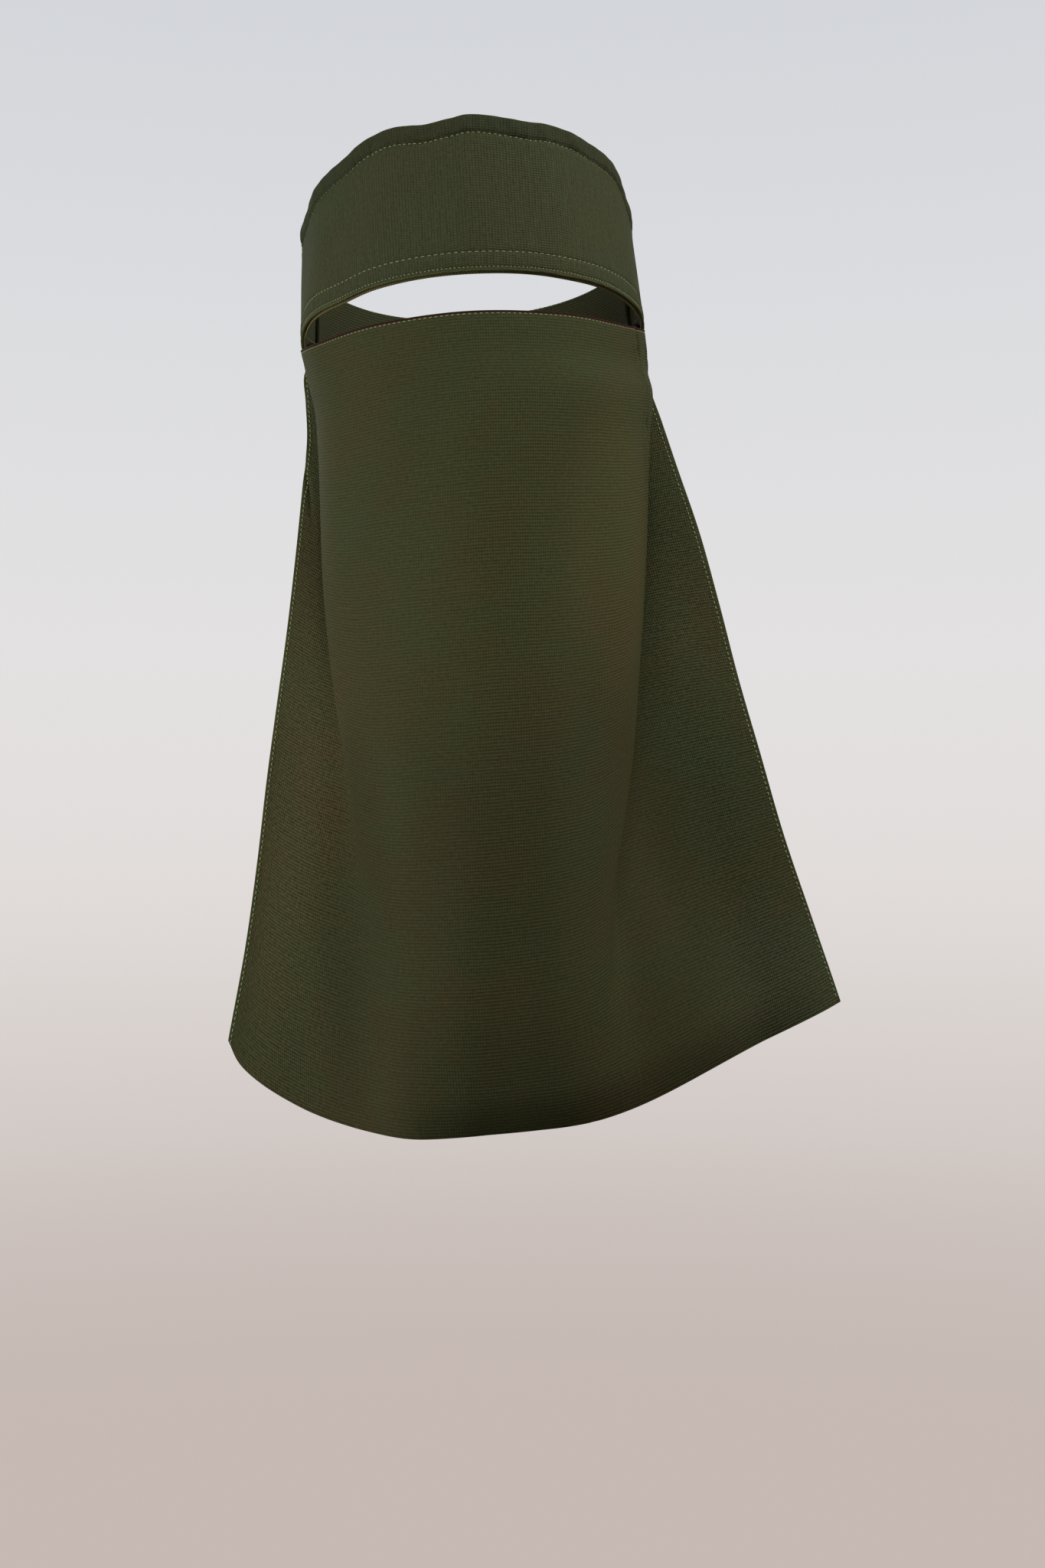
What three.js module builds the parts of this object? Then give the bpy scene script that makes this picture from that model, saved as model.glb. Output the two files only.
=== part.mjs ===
// A half niqab in the shape it takes when worn: a shaped forehead band with a facing at its brow edge, a face
// veil sewn to the band at both temples, and two straps that close behind the head.
// Millimetres. +X is the viewer's right, +Y the back of the head, +Z up. The origin is the middle of the head
// opening, level with the brow edge at the centre of the forehead.
import * as THREE from "three";

const { lerp, degToRad } = THREE.MathUtils;

// The head that the cloth goes round, with an underscarf on it.
const headHalfWidth = 81;
const headHalfLength = 96;
const headTiltRadians = degToRad(3.4); // towards the viewer's left
const templeLeanRadians = degToRad(4.3); // how far the band leans in towards the crown
const foreheadLeanRadians = degToRad(7);
const backLeanRadians = degToRad(2);

// Cloth thicknesses, and the gap kept between two sewn layers.
const bandWall = 1.7;
const casingWall = 2.2; // the turned casing along the band's top
const facingWall = 1;
const veilWall = 1.2;
const strapWall = 1.6;
const closureWall = 1.2;
const seamGap = 0.35;

// Sizes of the band, its facing and the straps.
const bandHeight = 71;
const hemWidth = 8.5;
const hemStep = 0.8; // how far the casing's thickness takes to run out
const bandEndDegrees = 110; // round from the forehead
const facingEndDegrees = 79;
const facingHeight = 10;
const facingShow = 0.6; // what peeps out below the brow edge
const strapStartDegrees = 102;
const strapStepFromDegrees = 114; // between these two the straps step out from under the band
const strapStepToDegrees = 161;
const strapHeight = 34;
const strapInset = 2; // how far the straps' lower edge lies above the band's
const strapOverlapDegrees = 17; // past the middle of the back, for each strap
const closureHalfSpanDegrees = 13;
const closureHeight = 24;
const ringStepDegrees = 4; // from one facet to the next
const backDegrees = 180; // the middle of the back of the head

// Sizes of the veil.
const veilLength = 350;
const chestStand = 37; // how far the lower hem stands forward of the head's front
const eyeOpening = 21; // height of the eye slot at the nose
const noseStand = 11; // how far the veil's top edge stands off the band's inner ring at the nose
const seamTuck = 7.5; // what is sewn up behind the brow edge at the temples
const leftFlare = 26; // how far the lower corners lie out from the head's sides
const rightFlare = 91;
const leftSideLength = 334;
const rightSideLength = 330;
const leftHemCurl = 2; // how far the lower hem turns in
const rightHemCurl = 7;

// The band's lower and upper edge round the head, as shares of the band's height. The upper edge is wavy.
const bandEdges = [
  { angle: -110, low: -0.085, high: 0.61 },
  { angle: -90, low: -0.105, high: 0.65 },
  { angle: -75, low: -0.055, high: 0.7 },
  { angle: -66, low: -0.04, high: 0.77 },
  { angle: -58, low: -0.04, high: 0.825 },
  { angle: -44, low: -0.045, high: 0.88 },
  { angle: -32, low: -0.025, high: 0.955 },
  { angle: -23, low: -0.018, high: 0.974 },
  { angle: -12, low: -0.013, high: 0.957 },
  { angle: -3, low: -0.012, high: 0.978 },
  { angle: 4, low: -0.012, high: 0.998 },
  { angle: 13, low: -0.012, high: 0.987 },
  { angle: 23, low: -0.015, high: 0.966 },
  { angle: 33, low: -0.022, high: 0.97 },
  { angle: 46, low: -0.026, high: 0.94 },
  { angle: 58, low: -0.04, high: 0.905 },
  { angle: 66, low: -0.05, high: 0.875 },
  { angle: 74, low: -0.055, high: 0.79 },
  { angle: 90, low: -0.105, high: 0.66 },
  { angle: 110, low: -0.085, high: 0.61 },
];

// The veil's top edge on the head. Drop is a share of the eye opening below the brow line, and stand a share
// of the nose's stand. The second table's stations are sewn inside the band, and rise is a share of the
// seam's tuck.
const topEdge = [
  { angle: 0, drop: 1, stand: 1 },
  { angle: 26, drop: 0.99, stand: 0.82 },
  { angle: 52, drop: 0.91, stand: 0.5 },
  { angle: 72, drop: 0.65, stand: 0.24 },
  { angle: 80, drop: 0.5, stand: 0.1 },
];
const sewnEdge = [
  { angle: 87, rise: -0.3 },
  { angle: 91, rise: 0.55 },
  { angle: 96, rise: 0.95 },
  { angle: 101, rise: 1 },
];

// The veil below the temples, one row in each of these tables for each section down its length. Down is a
// share of the veil's length, and fore a share of its reach forward from the head's middle. Round is how much
// of a quarter turn the front panel makes from the nose to a fold.
const frontSections = [
  { down: 0.05, fore: 0.85, round: 1 },
  { down: 0.09, fore: 0.875, round: 1 },
  { down: 0.15, fore: 0.895, round: 1 },
  { down: 0.22, fore: 0.9, round: 1 },
  { down: 0.32, fore: 0.905, round: 0.97 },
  { down: 0.43, fore: 0.915, round: 0.93 },
  { down: 0.54, fore: 0.93, round: 0.88 },
  { down: 0.65, fore: 0.95, round: 0.8 },
  { down: 0.76, fore: 0.97, round: 0.7 },
  { down: 0.88, fore: 0.99, round: 0.6 },
  { down: 1, fore: 1, round: 0.5 },
];

// The fold at each side and the tuck behind it: out is a share of the head's half width. Of the side hem, out
// is the way from the head's side to the lower corner, and belly is how far the side panel bows forward.
const leftFolds = [
  { foldOut: 0.955, foldFore: 0.08, tuckOut: 0.92, tuckFore: 0 },
  { foldOut: 0.915, foldFore: 0.11, tuckOut: 0.875, tuckFore: 0.01 },
  { foldOut: 0.887, foldFore: 0.15, tuckOut: 0.85, tuckFore: 0.04 },
  { foldOut: 0.863, foldFore: 0.22, tuckOut: 0.822, tuckFore: 0.105 },
  { foldOut: 0.828, foldFore: 0.33, tuckOut: 0.79, tuckFore: 0.225 },
  { foldOut: 0.765, foldFore: 0.45, tuckOut: 0.745, tuckFore: 0.375 },
  { foldOut: 0.685, foldFore: 0.58, tuckOut: 0.67, tuckFore: 0.505 },
  { foldOut: 0.59, foldFore: 0.7, tuckOut: 0.605, tuckFore: 0.605 },
  { foldOut: 0.48, foldFore: 0.82, tuckOut: 0.575, tuckFore: 0.7 },
  { foldOut: 0.375, foldFore: 0.92, tuckOut: 0.57, tuckFore: 0.785 },
  { foldOut: 0.27, foldFore: 0.985, tuckOut: 0.6, tuckFore: 0.835 },
];
const leftHems = [
  { hemOut: 0.09, hemFore: -0.07, belly: 0 },
  { hemOut: 0.06, hemFore: -0.06, belly: 0 },
  { hemOut: 0.01, hemFore: -0.02, belly: 0 },
  { hemOut: 0.05, hemFore: 0.04, belly: 0.01 },
  { hemOut: 0.115, hemFore: 0.135, belly: 0.01 },
  { hemOut: 0.21, hemFore: 0.235, belly: 0.01 },
  { hemOut: 0.33, hemFore: 0.325, belly: 0.01 },
  { hemOut: 0.455, hemFore: 0.405, belly: 0.01 },
  { hemOut: 0.57, hemFore: 0.465, belly: 0.015 },
  { hemOut: 0.74, hemFore: 0.525, belly: 0.02 },
  { hemOut: 1, hemFore: 0.57, belly: 0.02 },
];
const rightFolds = [
  { foldOut: 1.02, foldFore: 0.08, tuckOut: 0.96, tuckFore: -0.005 },
  { foldOut: 1.06, foldFore: 0.09, tuckOut: 0.98, tuckFore: -0.015 },
  { foldOut: 1.045, foldFore: 0.105, tuckOut: 0.975, tuckFore: -0.01 },
  { foldOut: 1.03, foldFore: 0.145, tuckOut: 0.95, tuckFore: 0.03 },
  { foldOut: 1.015, foldFore: 0.205, tuckOut: 0.925, tuckFore: 0.09 },
  { foldOut: 0.985, foldFore: 0.295, tuckOut: 0.895, tuckFore: 0.195 },
  { foldOut: 0.935, foldFore: 0.415, tuckOut: 0.875, tuckFore: 0.33 },
  { foldOut: 0.865, foldFore: 0.565, tuckOut: 0.82, tuckFore: 0.475 },
  { foldOut: 0.795, foldFore: 0.7, tuckOut: 0.8, tuckFore: 0.6 },
  { foldOut: 0.745, foldFore: 0.83, tuckOut: 0.875, tuckFore: 0.745 },
  { foldOut: 0.74, foldFore: 0.935, tuckOut: 0.97, tuckFore: 0.87 },
];
const rightHems = [
  { hemOut: 0.055, hemFore: -0.09, belly: 0 },
  { hemOut: 0.065, hemFore: -0.08, belly: 0 },
  { hemOut: 0.135, hemFore: -0.06, belly: 0 },
  { hemOut: 0.21, hemFore: -0.015, belly: 0.01 },
  { hemOut: 0.32, hemFore: 0.045, belly: 0.015 },
  { hemOut: 0.42, hemFore: 0.1, belly: 0.02 },
  { hemOut: 0.515, hemFore: 0.15, belly: 0.03 },
  { hemOut: 0.62, hemFore: 0.2, belly: 0.04 },
  { hemOut: 0.725, hemFore: 0.24, belly: 0.055 },
  { hemOut: 0.86, hemFore: 0.285, belly: 0.07 },
  { hemOut: 1, hemFore: 0.33, belly: 0.075 },
];

// The lower hem from the middle of the front panel to each corner. Along is a share of the way, and the
// others say how much of the corner's height above the middle the hem has there.
const lowerHem = [
  { along: 0, left: 0, right: 0 },
  { along: 0.25, left: -0.05, right: 0.11 },
  { along: 0.4, left: -0.08, right: 0.29 },
  { along: 0.6, left: 0.09, right: 0.59 },
  { along: 0.8, left: 0.35, right: 0.82 },
  { along: 0.92, left: 0.6, right: 0.93 },
  { along: 1, left: 1, right: 1 },
];

// Stations on the front panel, as shares of its arc from the nose to a fold, and on the side panel, as shares
// of the way from the tuck to the side hem with how much of the belly each takes.
const panelStations = [0.31, 0.61, 0.87];
const sideStations = [
  { along: 0.44, bow: 0.88 },
  { along: 0.88, bow: 0.5 },
];
const columnsPerSpan = 3;

const olive = new THREE.MeshStandardMaterial({ color: 0x474b2e, roughness: 0.85, metalness: 0 });
const oliveInside = new THREE.MeshStandardMaterial({ color: 0x55502f, roughness: 0.9, metalness: 0 });
const closureGreen = new THREE.MeshStandardMaterial({ color: 0x3a3d28, roughness: 0.95, metalness: 0 });

const headPose = new THREE.Matrix4().makeRotationY(-headTiltRadians);

// A point near the band's inner face: degrees round from the forehead, height above the brow line, and
// distance outward from the head.
function ringPoint(angle, height, outward) {
  const across = Math.sin(degToRad(angle));
  const along = -Math.cos(degToRad(angle));
  const lean = lerp(templeLeanRadians, along < 0 ? foreheadLeanRadians : backLeanRadians, along * along);
  const normal = new THREE.Vector2(across / headHalfWidth, along / headHalfLength).normalize();
  const shift = outward - height * Math.tan(lean);
  return new THREE.Vector3(
    headHalfWidth * across + normal.x * shift,
    headHalfLength * along + normal.y * shift,
    height,
  );
}

// A smooth curve through a table's rows, read at any value of its first column.
function smoothTable(rows, key, columns) {
  const values = rows.flatMap((row) => columns.map((column) => row[column]));
  const curve = new THREE.CubicInterpolant(
    rows.map((row) => row[key]),
    values,
    columns.length,
  );
  return (at) => [...curve.evaluate(at)];
}

const edgeAt = smoothTable(bandEdges, "angle", ["low", "high"]);

function bandEdge(angle) {
  const [low, high] = edgeAt(angle);
  return { low: low * bandHeight, high: high * bandHeight };
}

// A closed wall between two grids of points, grid[row][column]. Seen from outside the head, rows run down and
// columns to the viewer's right.
function closedWall(outer, inner) {
  const rows = outer.length;
  const columns = outer[0].length;
  const points = [...outer.flat(), ...inner.flat()];
  const index = [];
  const at = (side, row, column) => side * rows * columns + row * columns + column;
  const quad = (a, b, c, d) => index.push(a, b, c, a, c, d);
  for (let r = 0; r < rows - 1; r++)
    for (let c = 0; c < columns - 1; c++) {
      quad(at(0, r, c), at(0, r + 1, c), at(0, r + 1, c + 1), at(0, r, c + 1));
      quad(at(1, r, c), at(1, r, c + 1), at(1, r + 1, c + 1), at(1, r + 1, c));
    }
  for (let c = 0; c < columns - 1; c++) {
    quad(at(0, 0, c), at(0, 0, c + 1), at(1, 0, c + 1), at(1, 0, c));
    quad(at(0, rows - 1, c + 1), at(0, rows - 1, c), at(1, rows - 1, c), at(1, rows - 1, c + 1));
  }
  for (let r = 0; r < rows - 1; r++) {
    quad(at(0, r + 1, 0), at(0, r, 0), at(1, r, 0), at(1, r + 1, 0));
    quad(at(0, r, columns - 1), at(0, r + 1, columns - 1), at(1, r + 1, columns - 1), at(1, r, columns - 1));
  }
  const geometry = new THREE.BufferGeometry().setFromPoints(points).setIndex(index);
  geometry.computeVertexNormals();
  return geometry;
}

// Even steps from one value to another, both included.
function steps(from, to, count) {
  return Array.from({ length: count + 1 }, (_, i) => lerp(from, to, i / count));
}

function ringAngles(from, to) {
  return steps(from, to, Math.round((to - from) / ringStepDegrees));
}

function piece(name, geometry, material) {
  const mesh = new THREE.Mesh(geometry, material);
  mesh.name = name;
  return mesh;
}

// The forehead band, with a thicker turned casing along the top.
function foreheadBand() {
  const angles = ringAngles(-bandEndDegrees, bandEndDegrees);
  const plain = casingWall - bandWall;
  const profile = angles.map((angle) => {
    const { low, high } = bandEdge(angle);
    return [
      { height: high, inside: 0 },
      { height: high - hemWidth, inside: 0 },
      { height: high - hemWidth - hemStep, inside: plain },
      { height: low, inside: plain },
    ];
  });
  const rows = profile[0].map((_, r) => r);
  const wall = (outward) =>
    rows.map((r) => angles.map((a, i) => ringPoint(a, profile[i][r].height, outward(profile[i][r]))));
  const outer = wall(() => casingWall);
  const inner = wall((place) => place.inside);
  return piece("forehead_band", closedWall(outer, inner), olive);
}

// The facing strip behind the brow edge, between the two rows of stitching.
function browFacing() {
  const angles = ringAngles(-facingEndDegrees, facingEndDegrees);
  const outside = casingWall - bandWall - seamGap;
  const lows = angles.map((a) => bandEdge(a).low - facingShow);
  const wall = (outward) =>
    [facingHeight, 0].map((up) => angles.map((a, i) => ringPoint(a, lows[i] + up, outward)));
  return piece("brow_facing", closedWall(wall(outside), wall(outside - facingWall)), oliveInside);
}

const strapLow = bandEdge(bandEndDegrees).low + strapInset;

// One strap: it starts inside the band's end and runs past the middle of the back.
function backStrap(name, side, layerAtBack) {
  const joined = -seamGap - strapWall;
  const stations = ringAngles(strapStartDegrees, backDegrees + strapOverlapDegrees).map((angle) => {
    const ease = THREE.MathUtils.smoothstep(angle, strapStepFromDegrees, strapStepToDegrees);
    return { angle: angle * side, inside: lerp(joined, layerAtBack, ease) };
  });
  if (side < 0) stations.reverse();
  const heights = [strapLow + strapHeight, strapLow];
  const wall = (outward) =>
    heights.map((height) => stations.map((s) => ringPoint(s.angle, height, s.inside + outward)));
  return piece(name, closedWall(wall(strapWall), wall(0)), olive);
}

const innerStrapLayer = 0;
const closureLayer = innerStrapLayer + strapWall + seamGap;
const outerStrapLayer = closureLayer + closureWall + seamGap;

// The plain fastening strip between the overlapping strap ends.
function closureStrip() {
  const angles = ringAngles(backDegrees - closureHalfSpanDegrees, backDegrees + closureHalfSpanDegrees);
  const low = strapLow + (strapHeight - closureHeight) / 2;
  const heights = [low + closureHeight, low];
  const wall = (outward) => heights.map((height) => angles.map((a) => ringPoint(a, height, outward)));
  const outer = wall(closureLayer + closureWall);
  return piece("closure_strip", closedWall(outer, wall(closureLayer)), closureGreen);
}

// The veil's stations on the head, from the left side hem over the nose to the right: the top edge, lowered
// by some distance. Past the temples it is sewn up inside the band.
function headRow(lower) {
  const sewnOut = casingWall - bandWall - seamGap - veilWall / 2;
  const onHead = (angle, height, outward) =>
    ringPoint(angle, height - lower, outward).applyMatrix4(headPose);
  const sewnHeight = (angle, rise) => bandEdge(angle).low + rise * seamTuck;
  const half = (side) => [
    ...topEdge.map((p) => onHead(side * p.angle, -p.drop * eyeOpening, p.stand * noseStand)),
    ...sewnEdge.map((p) => onHead(side * p.angle, sewnHeight(side * p.angle, p.rise), sewnOut)),
  ];
  return [...half(-1).slice(1).reverse(), ...half(1)];
}

// One half of a section in plan: front panel, fold, tuck behind the fold, and side panel to the side hem.
function planHalf(front, row, side, flare, middle, curl) {
  const reach = headHalfLength + chestStand;
  const fold = new THREE.Vector3(side * row.foldOut * headHalfWidth, -row.foldFore * reach + curl, 0);
  const tuck = new THREE.Vector3(side * row.tuckOut * headHalfWidth, -row.tuckFore * reach + curl, 0);
  const hem = new THREE.Vector3(side * (headHalfWidth + row.hemOut * flare), -row.hemFore * reach, 0);
  const turn = degToRad(90) * front.round;
  const panel = panelStations.map((share) => {
    const x = lerp(middle.x, fold.x, Math.sin(turn * share) / Math.sin(turn));
    const y = lerp(fold.y, middle.y, (Math.cos(turn * share) - Math.cos(turn)) / (1 - Math.cos(turn)));
    return new THREE.Vector3(x, y, 0);
  });
  const sidePanel = sideStations.map(({ along, bow }) => {
    const point = tuck.clone().lerp(hem, along);
    point.y -= bow * row.belly * reach;
    return point;
  });
  return [middle.clone(), ...panel, fold, tuck, ...sidePanel, hem];
}

// Hangs each column of a half section from its place on the top edge. The lower hem rises from the middle to
// the corner with the distance travelled.
function hangHalf(points, topHalf, down, sideLength, hemSide) {
  const travelled = [0];
  for (let n = 1; n < points.length; n++)
    travelled.push(travelled[n - 1] + points[n].distanceTo(points[n - 1]));
  const riseAt = smoothTable(lowerHem, "along", [hemSide]);
  const lowestMiddle = topHalf[0].z - veilLength;
  const lowestCorner = topHalf.at(-1).z - sideLength;
  points.forEach((point, n) => {
    const [rise] = riseAt(travelled[n] / travelled.at(-1));
    point.z = lerp(topHalf[n].z, lerp(lowestMiddle, lowestCorner, rise), down);
  });
}

// The veil's control points: sections from the top edge down, each from the left side hem to the right.
function veilSections() {
  const top = headRow(0);
  const centre = (top.length - 1) / 2;
  const reach = headHalfLength + chestStand;
  const rows = frontSections.map((front, i) => {
    const left = { ...leftFolds[i], ...leftHems[i] };
    const right = { ...rightFolds[i], ...rightHems[i] };
    const [leftCurl, rightCurl] = front.down === 1 ? [leftHemCurl, rightHemCurl] : [0, 0];
    const middleX = ((right.foldOut - left.foldOut) * headHalfWidth) / 2;
    const middle = new THREE.Vector3(middleX, -front.fore * reach + (leftCurl + rightCurl) / 2, 0);
    const leftHalf = planHalf(front, left, -1, leftFlare, middle, leftCurl);
    const rightHalf = planHalf(front, right, 1, rightFlare, middle, rightCurl);
    hangHalf(leftHalf, top.slice(0, centre + 1).reverse(), front.down, leftSideLength, "left");
    hangHalf(rightHalf, top.slice(centre), front.down, rightSideLength, "right");
    return { down: front.down, points: [...leftHalf.slice(1).reverse(), ...rightHalf] };
  });

  // Level with the brow edge the sewn corners end, and the stretch between them falls to the first section.
  const sewn = { down: seamTuck / veilLength, points: headRow(seamTuck) };
  for (let n = sewnEdge.length; n < top.length - sewnEdge.length; n++)
    sewn.points[n].lerpVectors(top[n], rows[0].points[n], sewn.down / rows[0].down);
  return [{ down: 0, points: top }, sewn, ...rows];
}

// The veil's middle surface as a grid of points, smooth down its length and across each section.
function veilGrid() {
  const rows = veilSections();
  const flat = rows.flatMap((row) => row.points.flatMap((p) => p.toArray()));
  const downCurve = new THREE.CubicInterpolant(
    rows.map((row) => row.down),
    flat,
    rows[0].points.length * 3,
  );
  const downs = rows.flatMap((row, i) => (i ? [(row.down + rows[i - 1].down) / 2, row.down] : [row.down]));
  const segments = rows[0].points.length - 1;
  return downs.map((down) => {
    const values = [...downCurve.evaluate(down)];
    const pointAt = (_, i) => new THREE.Vector3().fromArray(values, i * 3);
    const points = Array.from({ length: segments + 1 }, pointAt);
    const across = new THREE.CatmullRomCurve3(points, false, "centripetal");
    return steps(0, 1, segments * columnsPerSpan).map((t) => across.getPoint(t));
  });
}

// Moves each point of a grid along the surface's own normal, outward from the head.
function offsetGrid(grid, distance) {
  const last = (list) => list.length - 1;
  return grid.map((row, r) =>
    row.map((point, c) => {
      const across = row[Math.min(c + 1, last(row))].clone().sub(row[Math.max(c - 1, 0)]);
      const down = grid[Math.min(r + 1, last(grid))][c].clone().sub(grid[Math.max(r - 1, 0)][c]);
      return point.clone().addScaledVector(down.cross(across).normalize(), distance);
    }),
  );
}

function faceVeil() {
  const grid = veilGrid();
  const wall = closedWall(offsetGrid(grid, veilWall / 2), offsetGrid(grid, -veilWall / 2));
  return piece("face_veil", wall, olive);
}

const headband = new THREE.Group();
headband.rotation.y = -headTiltRadians;
headband.add(
  foreheadBand(),
  browFacing(),
  backStrap("back_strap_left", -1, outerStrapLayer),
  backStrap("back_strap_right", 1, innerStrapLayer),
  closureStrip(),
);

const niqab = new THREE.Group();
niqab.add(headband, faceVeil());

export default niqab;
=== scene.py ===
# %% [markdown]
# A half niqab, held in the shape it takes when worn.
#
# The real one is sewn from matte olive crepe: a shaped forehead band, a facing behind its brow edge, a
# long face veil sewn in at both temples, and two straps that close behind the head. This notebook loads
# the engineering model as a fixed frame and dresses it: each wall is built again as a fine cloth surface
# in the same place, then it gets its topstitching, weave and colour. Everything is in metres, with +Z up
# and the back of the head towards +Y.

# %% Load the frame
import math

import bpy
import numpy as np
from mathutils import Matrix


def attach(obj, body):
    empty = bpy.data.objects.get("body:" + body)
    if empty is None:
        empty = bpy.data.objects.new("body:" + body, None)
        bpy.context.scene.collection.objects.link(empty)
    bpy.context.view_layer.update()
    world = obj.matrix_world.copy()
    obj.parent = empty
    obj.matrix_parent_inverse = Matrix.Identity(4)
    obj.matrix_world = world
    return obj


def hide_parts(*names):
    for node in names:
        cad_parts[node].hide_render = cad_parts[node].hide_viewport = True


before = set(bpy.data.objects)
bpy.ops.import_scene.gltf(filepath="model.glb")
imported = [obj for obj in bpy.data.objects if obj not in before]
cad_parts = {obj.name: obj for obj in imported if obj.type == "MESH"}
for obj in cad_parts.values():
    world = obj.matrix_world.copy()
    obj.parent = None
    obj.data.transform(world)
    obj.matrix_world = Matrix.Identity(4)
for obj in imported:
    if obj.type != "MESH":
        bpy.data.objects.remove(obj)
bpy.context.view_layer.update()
print("pieces in the frame:", sorted(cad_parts))

# %% [markdown]
# The camera comes first, so that every later picture can be compared with the photograph. It stands a
# little below the chin, level and square to the face. A portrait picture is fitted by its long side, so
# the lens follows from how many picture heights away the image plane lies.

# %% Camera
CAMERA_PLACE = (0.0245, -0.874, -0.2235)
SENSOR = 36
FOCAL_HEIGHTS = 2333 / 2048

camera_data = bpy.data.cameras.new("camera")
camera_data.sensor_width = SENSOR
camera_data.lens = SENSOR * FOCAL_HEIGHTS
camera_data.clip_start = 0.01
camera = bpy.data.objects.new("camera", camera_data)
camera.location = CAMERA_PLACE
camera.rotation_euler = (math.radians(90), 0, 0)
bpy.context.scene.collection.objects.link(camera)
bpy.context.scene.camera = camera
print("camera lens:", round(camera_data.lens, 2), "mm")

# %% [markdown]
# Colours are written as the eye reads them, from 0 to 255, and turned into the linear values that
# Blender's shaders work with.

# %% Colour helper


def shade(red, green, blue):
    """A linear colour with alpha from three display values."""
    display = np.array([red, green, blue]) / 255
    linear = np.where(display <= 0.04045, display / 12.92, ((display + 0.055) / 1.055) ** 2.4)
    return (*linear, 1)


print("a mid olive in linear values:", [round(value, 3) for value in shade(60, 62, 42)])

# %% [markdown]
# Cloth walls need smooth curves through a few chosen values. A table's first column says where, and the
# others what. Between two rows the curve is a cubic whose slope at each row is the mean of the slopes on
# both sides, which never swings far from the table as a single high polynomial would. Soft humps and
# slanting sine waves are added to such curves later, for the lumps and sags of real cloth.

# %% Smooth curves


def hermite(start, end, start_slope, end_slope, share):
    """A cubic from start to end with the given slopes, at a share of the way."""
    square = share * share
    cube = square * share
    return (
        start * (2 * cube - 3 * square + 1)
        + end * (3 * square - 2 * cube)
        + start_slope * (cube - 2 * square + share)
        + end_slope * (cube - square)
    )


def smooth_table(where, what, at):
    """Reads a smooth curve through the table's rows at any number of places."""
    where, what, at = np.asarray(where, float), np.asarray(what, float), np.asarray(at, float)
    what = what.reshape(len(where), -1)
    slope = np.diff(what, axis=0) / np.diff(where)[:, None]
    tangent = np.vstack([slope[:1], (slope[1:] + slope[:-1]) / 2, slope[-1:]])
    i = np.clip(np.searchsorted(where, at, side="right") - 1, 0, len(where) - 2)
    step = (where[i + 1] - where[i])[:, None]
    share = (at - where[i])[:, None] / step
    return hermite(what[i], what[i + 1], tangent[i] * step, tangent[i + 1] * step, share)


def curve_across(points, at):
    """Curves through each row of stations, read at fractional stations. Chords' roots set the pace, so
    that a short tuck between two long panels doesn't overshoot."""
    before = 2 * points[:, :1] - points[:, 1:2]
    after = 2 * points[:, -1:] - points[:, -2:-1]
    p = np.concatenate([before, points, after], axis=1)
    pace = np.sqrt(np.linalg.norm(np.diff(p, axis=1), axis=-1))[..., None]
    i = np.minimum(np.asarray(at).astype(int), points.shape[1] - 2)
    p0, p1, p2, p3 = (p[:, i + k] for k in range(4))
    g0, g1, g2 = (pace[:, i + k] for k in range(3))
    leave = ((p1 - p0) / g0 - (p2 - p0) / (g0 + g1) + (p2 - p1) / g1) * g1
    arrive = ((p2 - p1) / g1 - (p3 - p1) / (g1 + g2) + (p3 - p2) / g2) * g1
    return hermite(p1, p2, leave, arrive, (at - i)[None, :, None])


def eased(share):
    """A share from 0 to 1 that starts and ends gently."""
    return share * share * (3 - 2 * share)


def bump(value, centre, width):
    """A soft hump of height 1."""
    return np.exp(-(((value - centre) / width) ** 2))


def wave_over(across, down, wave):
    """One slanting sine wave over the cloth."""
    height, pace_across, start, pace_down = wave
    return height * np.sin(across * pace_across + start + down * pace_down)


def read_along(points, travelled, places):
    """Points at some distances along a path, read between its own."""
    return np.stack([np.interp(places, travelled, points[:, k]) for k in range(3)], axis=-1)


print("halfway between 0 and 1:", smooth_table([0, 1, 2], [0, 1, 4], [0.5]).round(3))

# %% [markdown]
# The band and the straps lie round a head. A point there is given by its angle from the forehead, its
# height above the brow line and its distance outward. The head's ring is an ellipse, the cloth leans in
# towards the crown, and the whole head is tilted a little to the viewer's left.

# %% Round the head
HEAD_HALF_WIDTH = 0.081
HEAD_HALF_LENGTH = 0.096
HEAD_TILT = math.radians(3.4)
TEMPLE_LEAN = math.radians(4.3)
FOREHEAD_LEAN = math.radians(7)
BACK_LEAN = math.radians(2)


def ring_point(angle, height, outward):
    """Points by the head for angles in degrees; all three may be arrays of one shape."""
    across, along = np.sin(np.radians(angle)), -np.cos(np.radians(angle))
    far_lean = np.where(along < 0, FOREHEAD_LEAN, BACK_LEAN)
    lean = TEMPLE_LEAN + (far_lean - TEMPLE_LEAN) * along**2
    normal = np.stack([across / HEAD_HALF_WIDTH, along / HEAD_HALF_LENGTH])
    normal = normal / np.linalg.norm(normal, axis=0)
    shift = outward - height * np.tan(lean)
    x = HEAD_HALF_WIDTH * across + normal[0] * shift
    y = HEAD_HALF_LENGTH * along + normal[1] * shift
    c, s = math.cos(HEAD_TILT), math.sin(HEAD_TILT)
    return np.stack([x * c - height * s, y, x * s + height * c], axis=-1)


head_ring = ring_point(np.arange(0, 361.0), 0, 0)
head_steps = np.linalg.norm(np.diff(head_ring, axis=0), axis=1)
print("round the head:", round(head_steps.sum(), 3), "m")

# %% [markdown]
# Every cloth piece is a closed wall between an outer and an inner grid of points. The two meet at the
# rim, and rows set close together there round it off, so that no edge looks like cut card. The grid's own
# lengths in metres go into a UV map: the weave is drawn in them, and follows the cloth round each fold.

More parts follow.
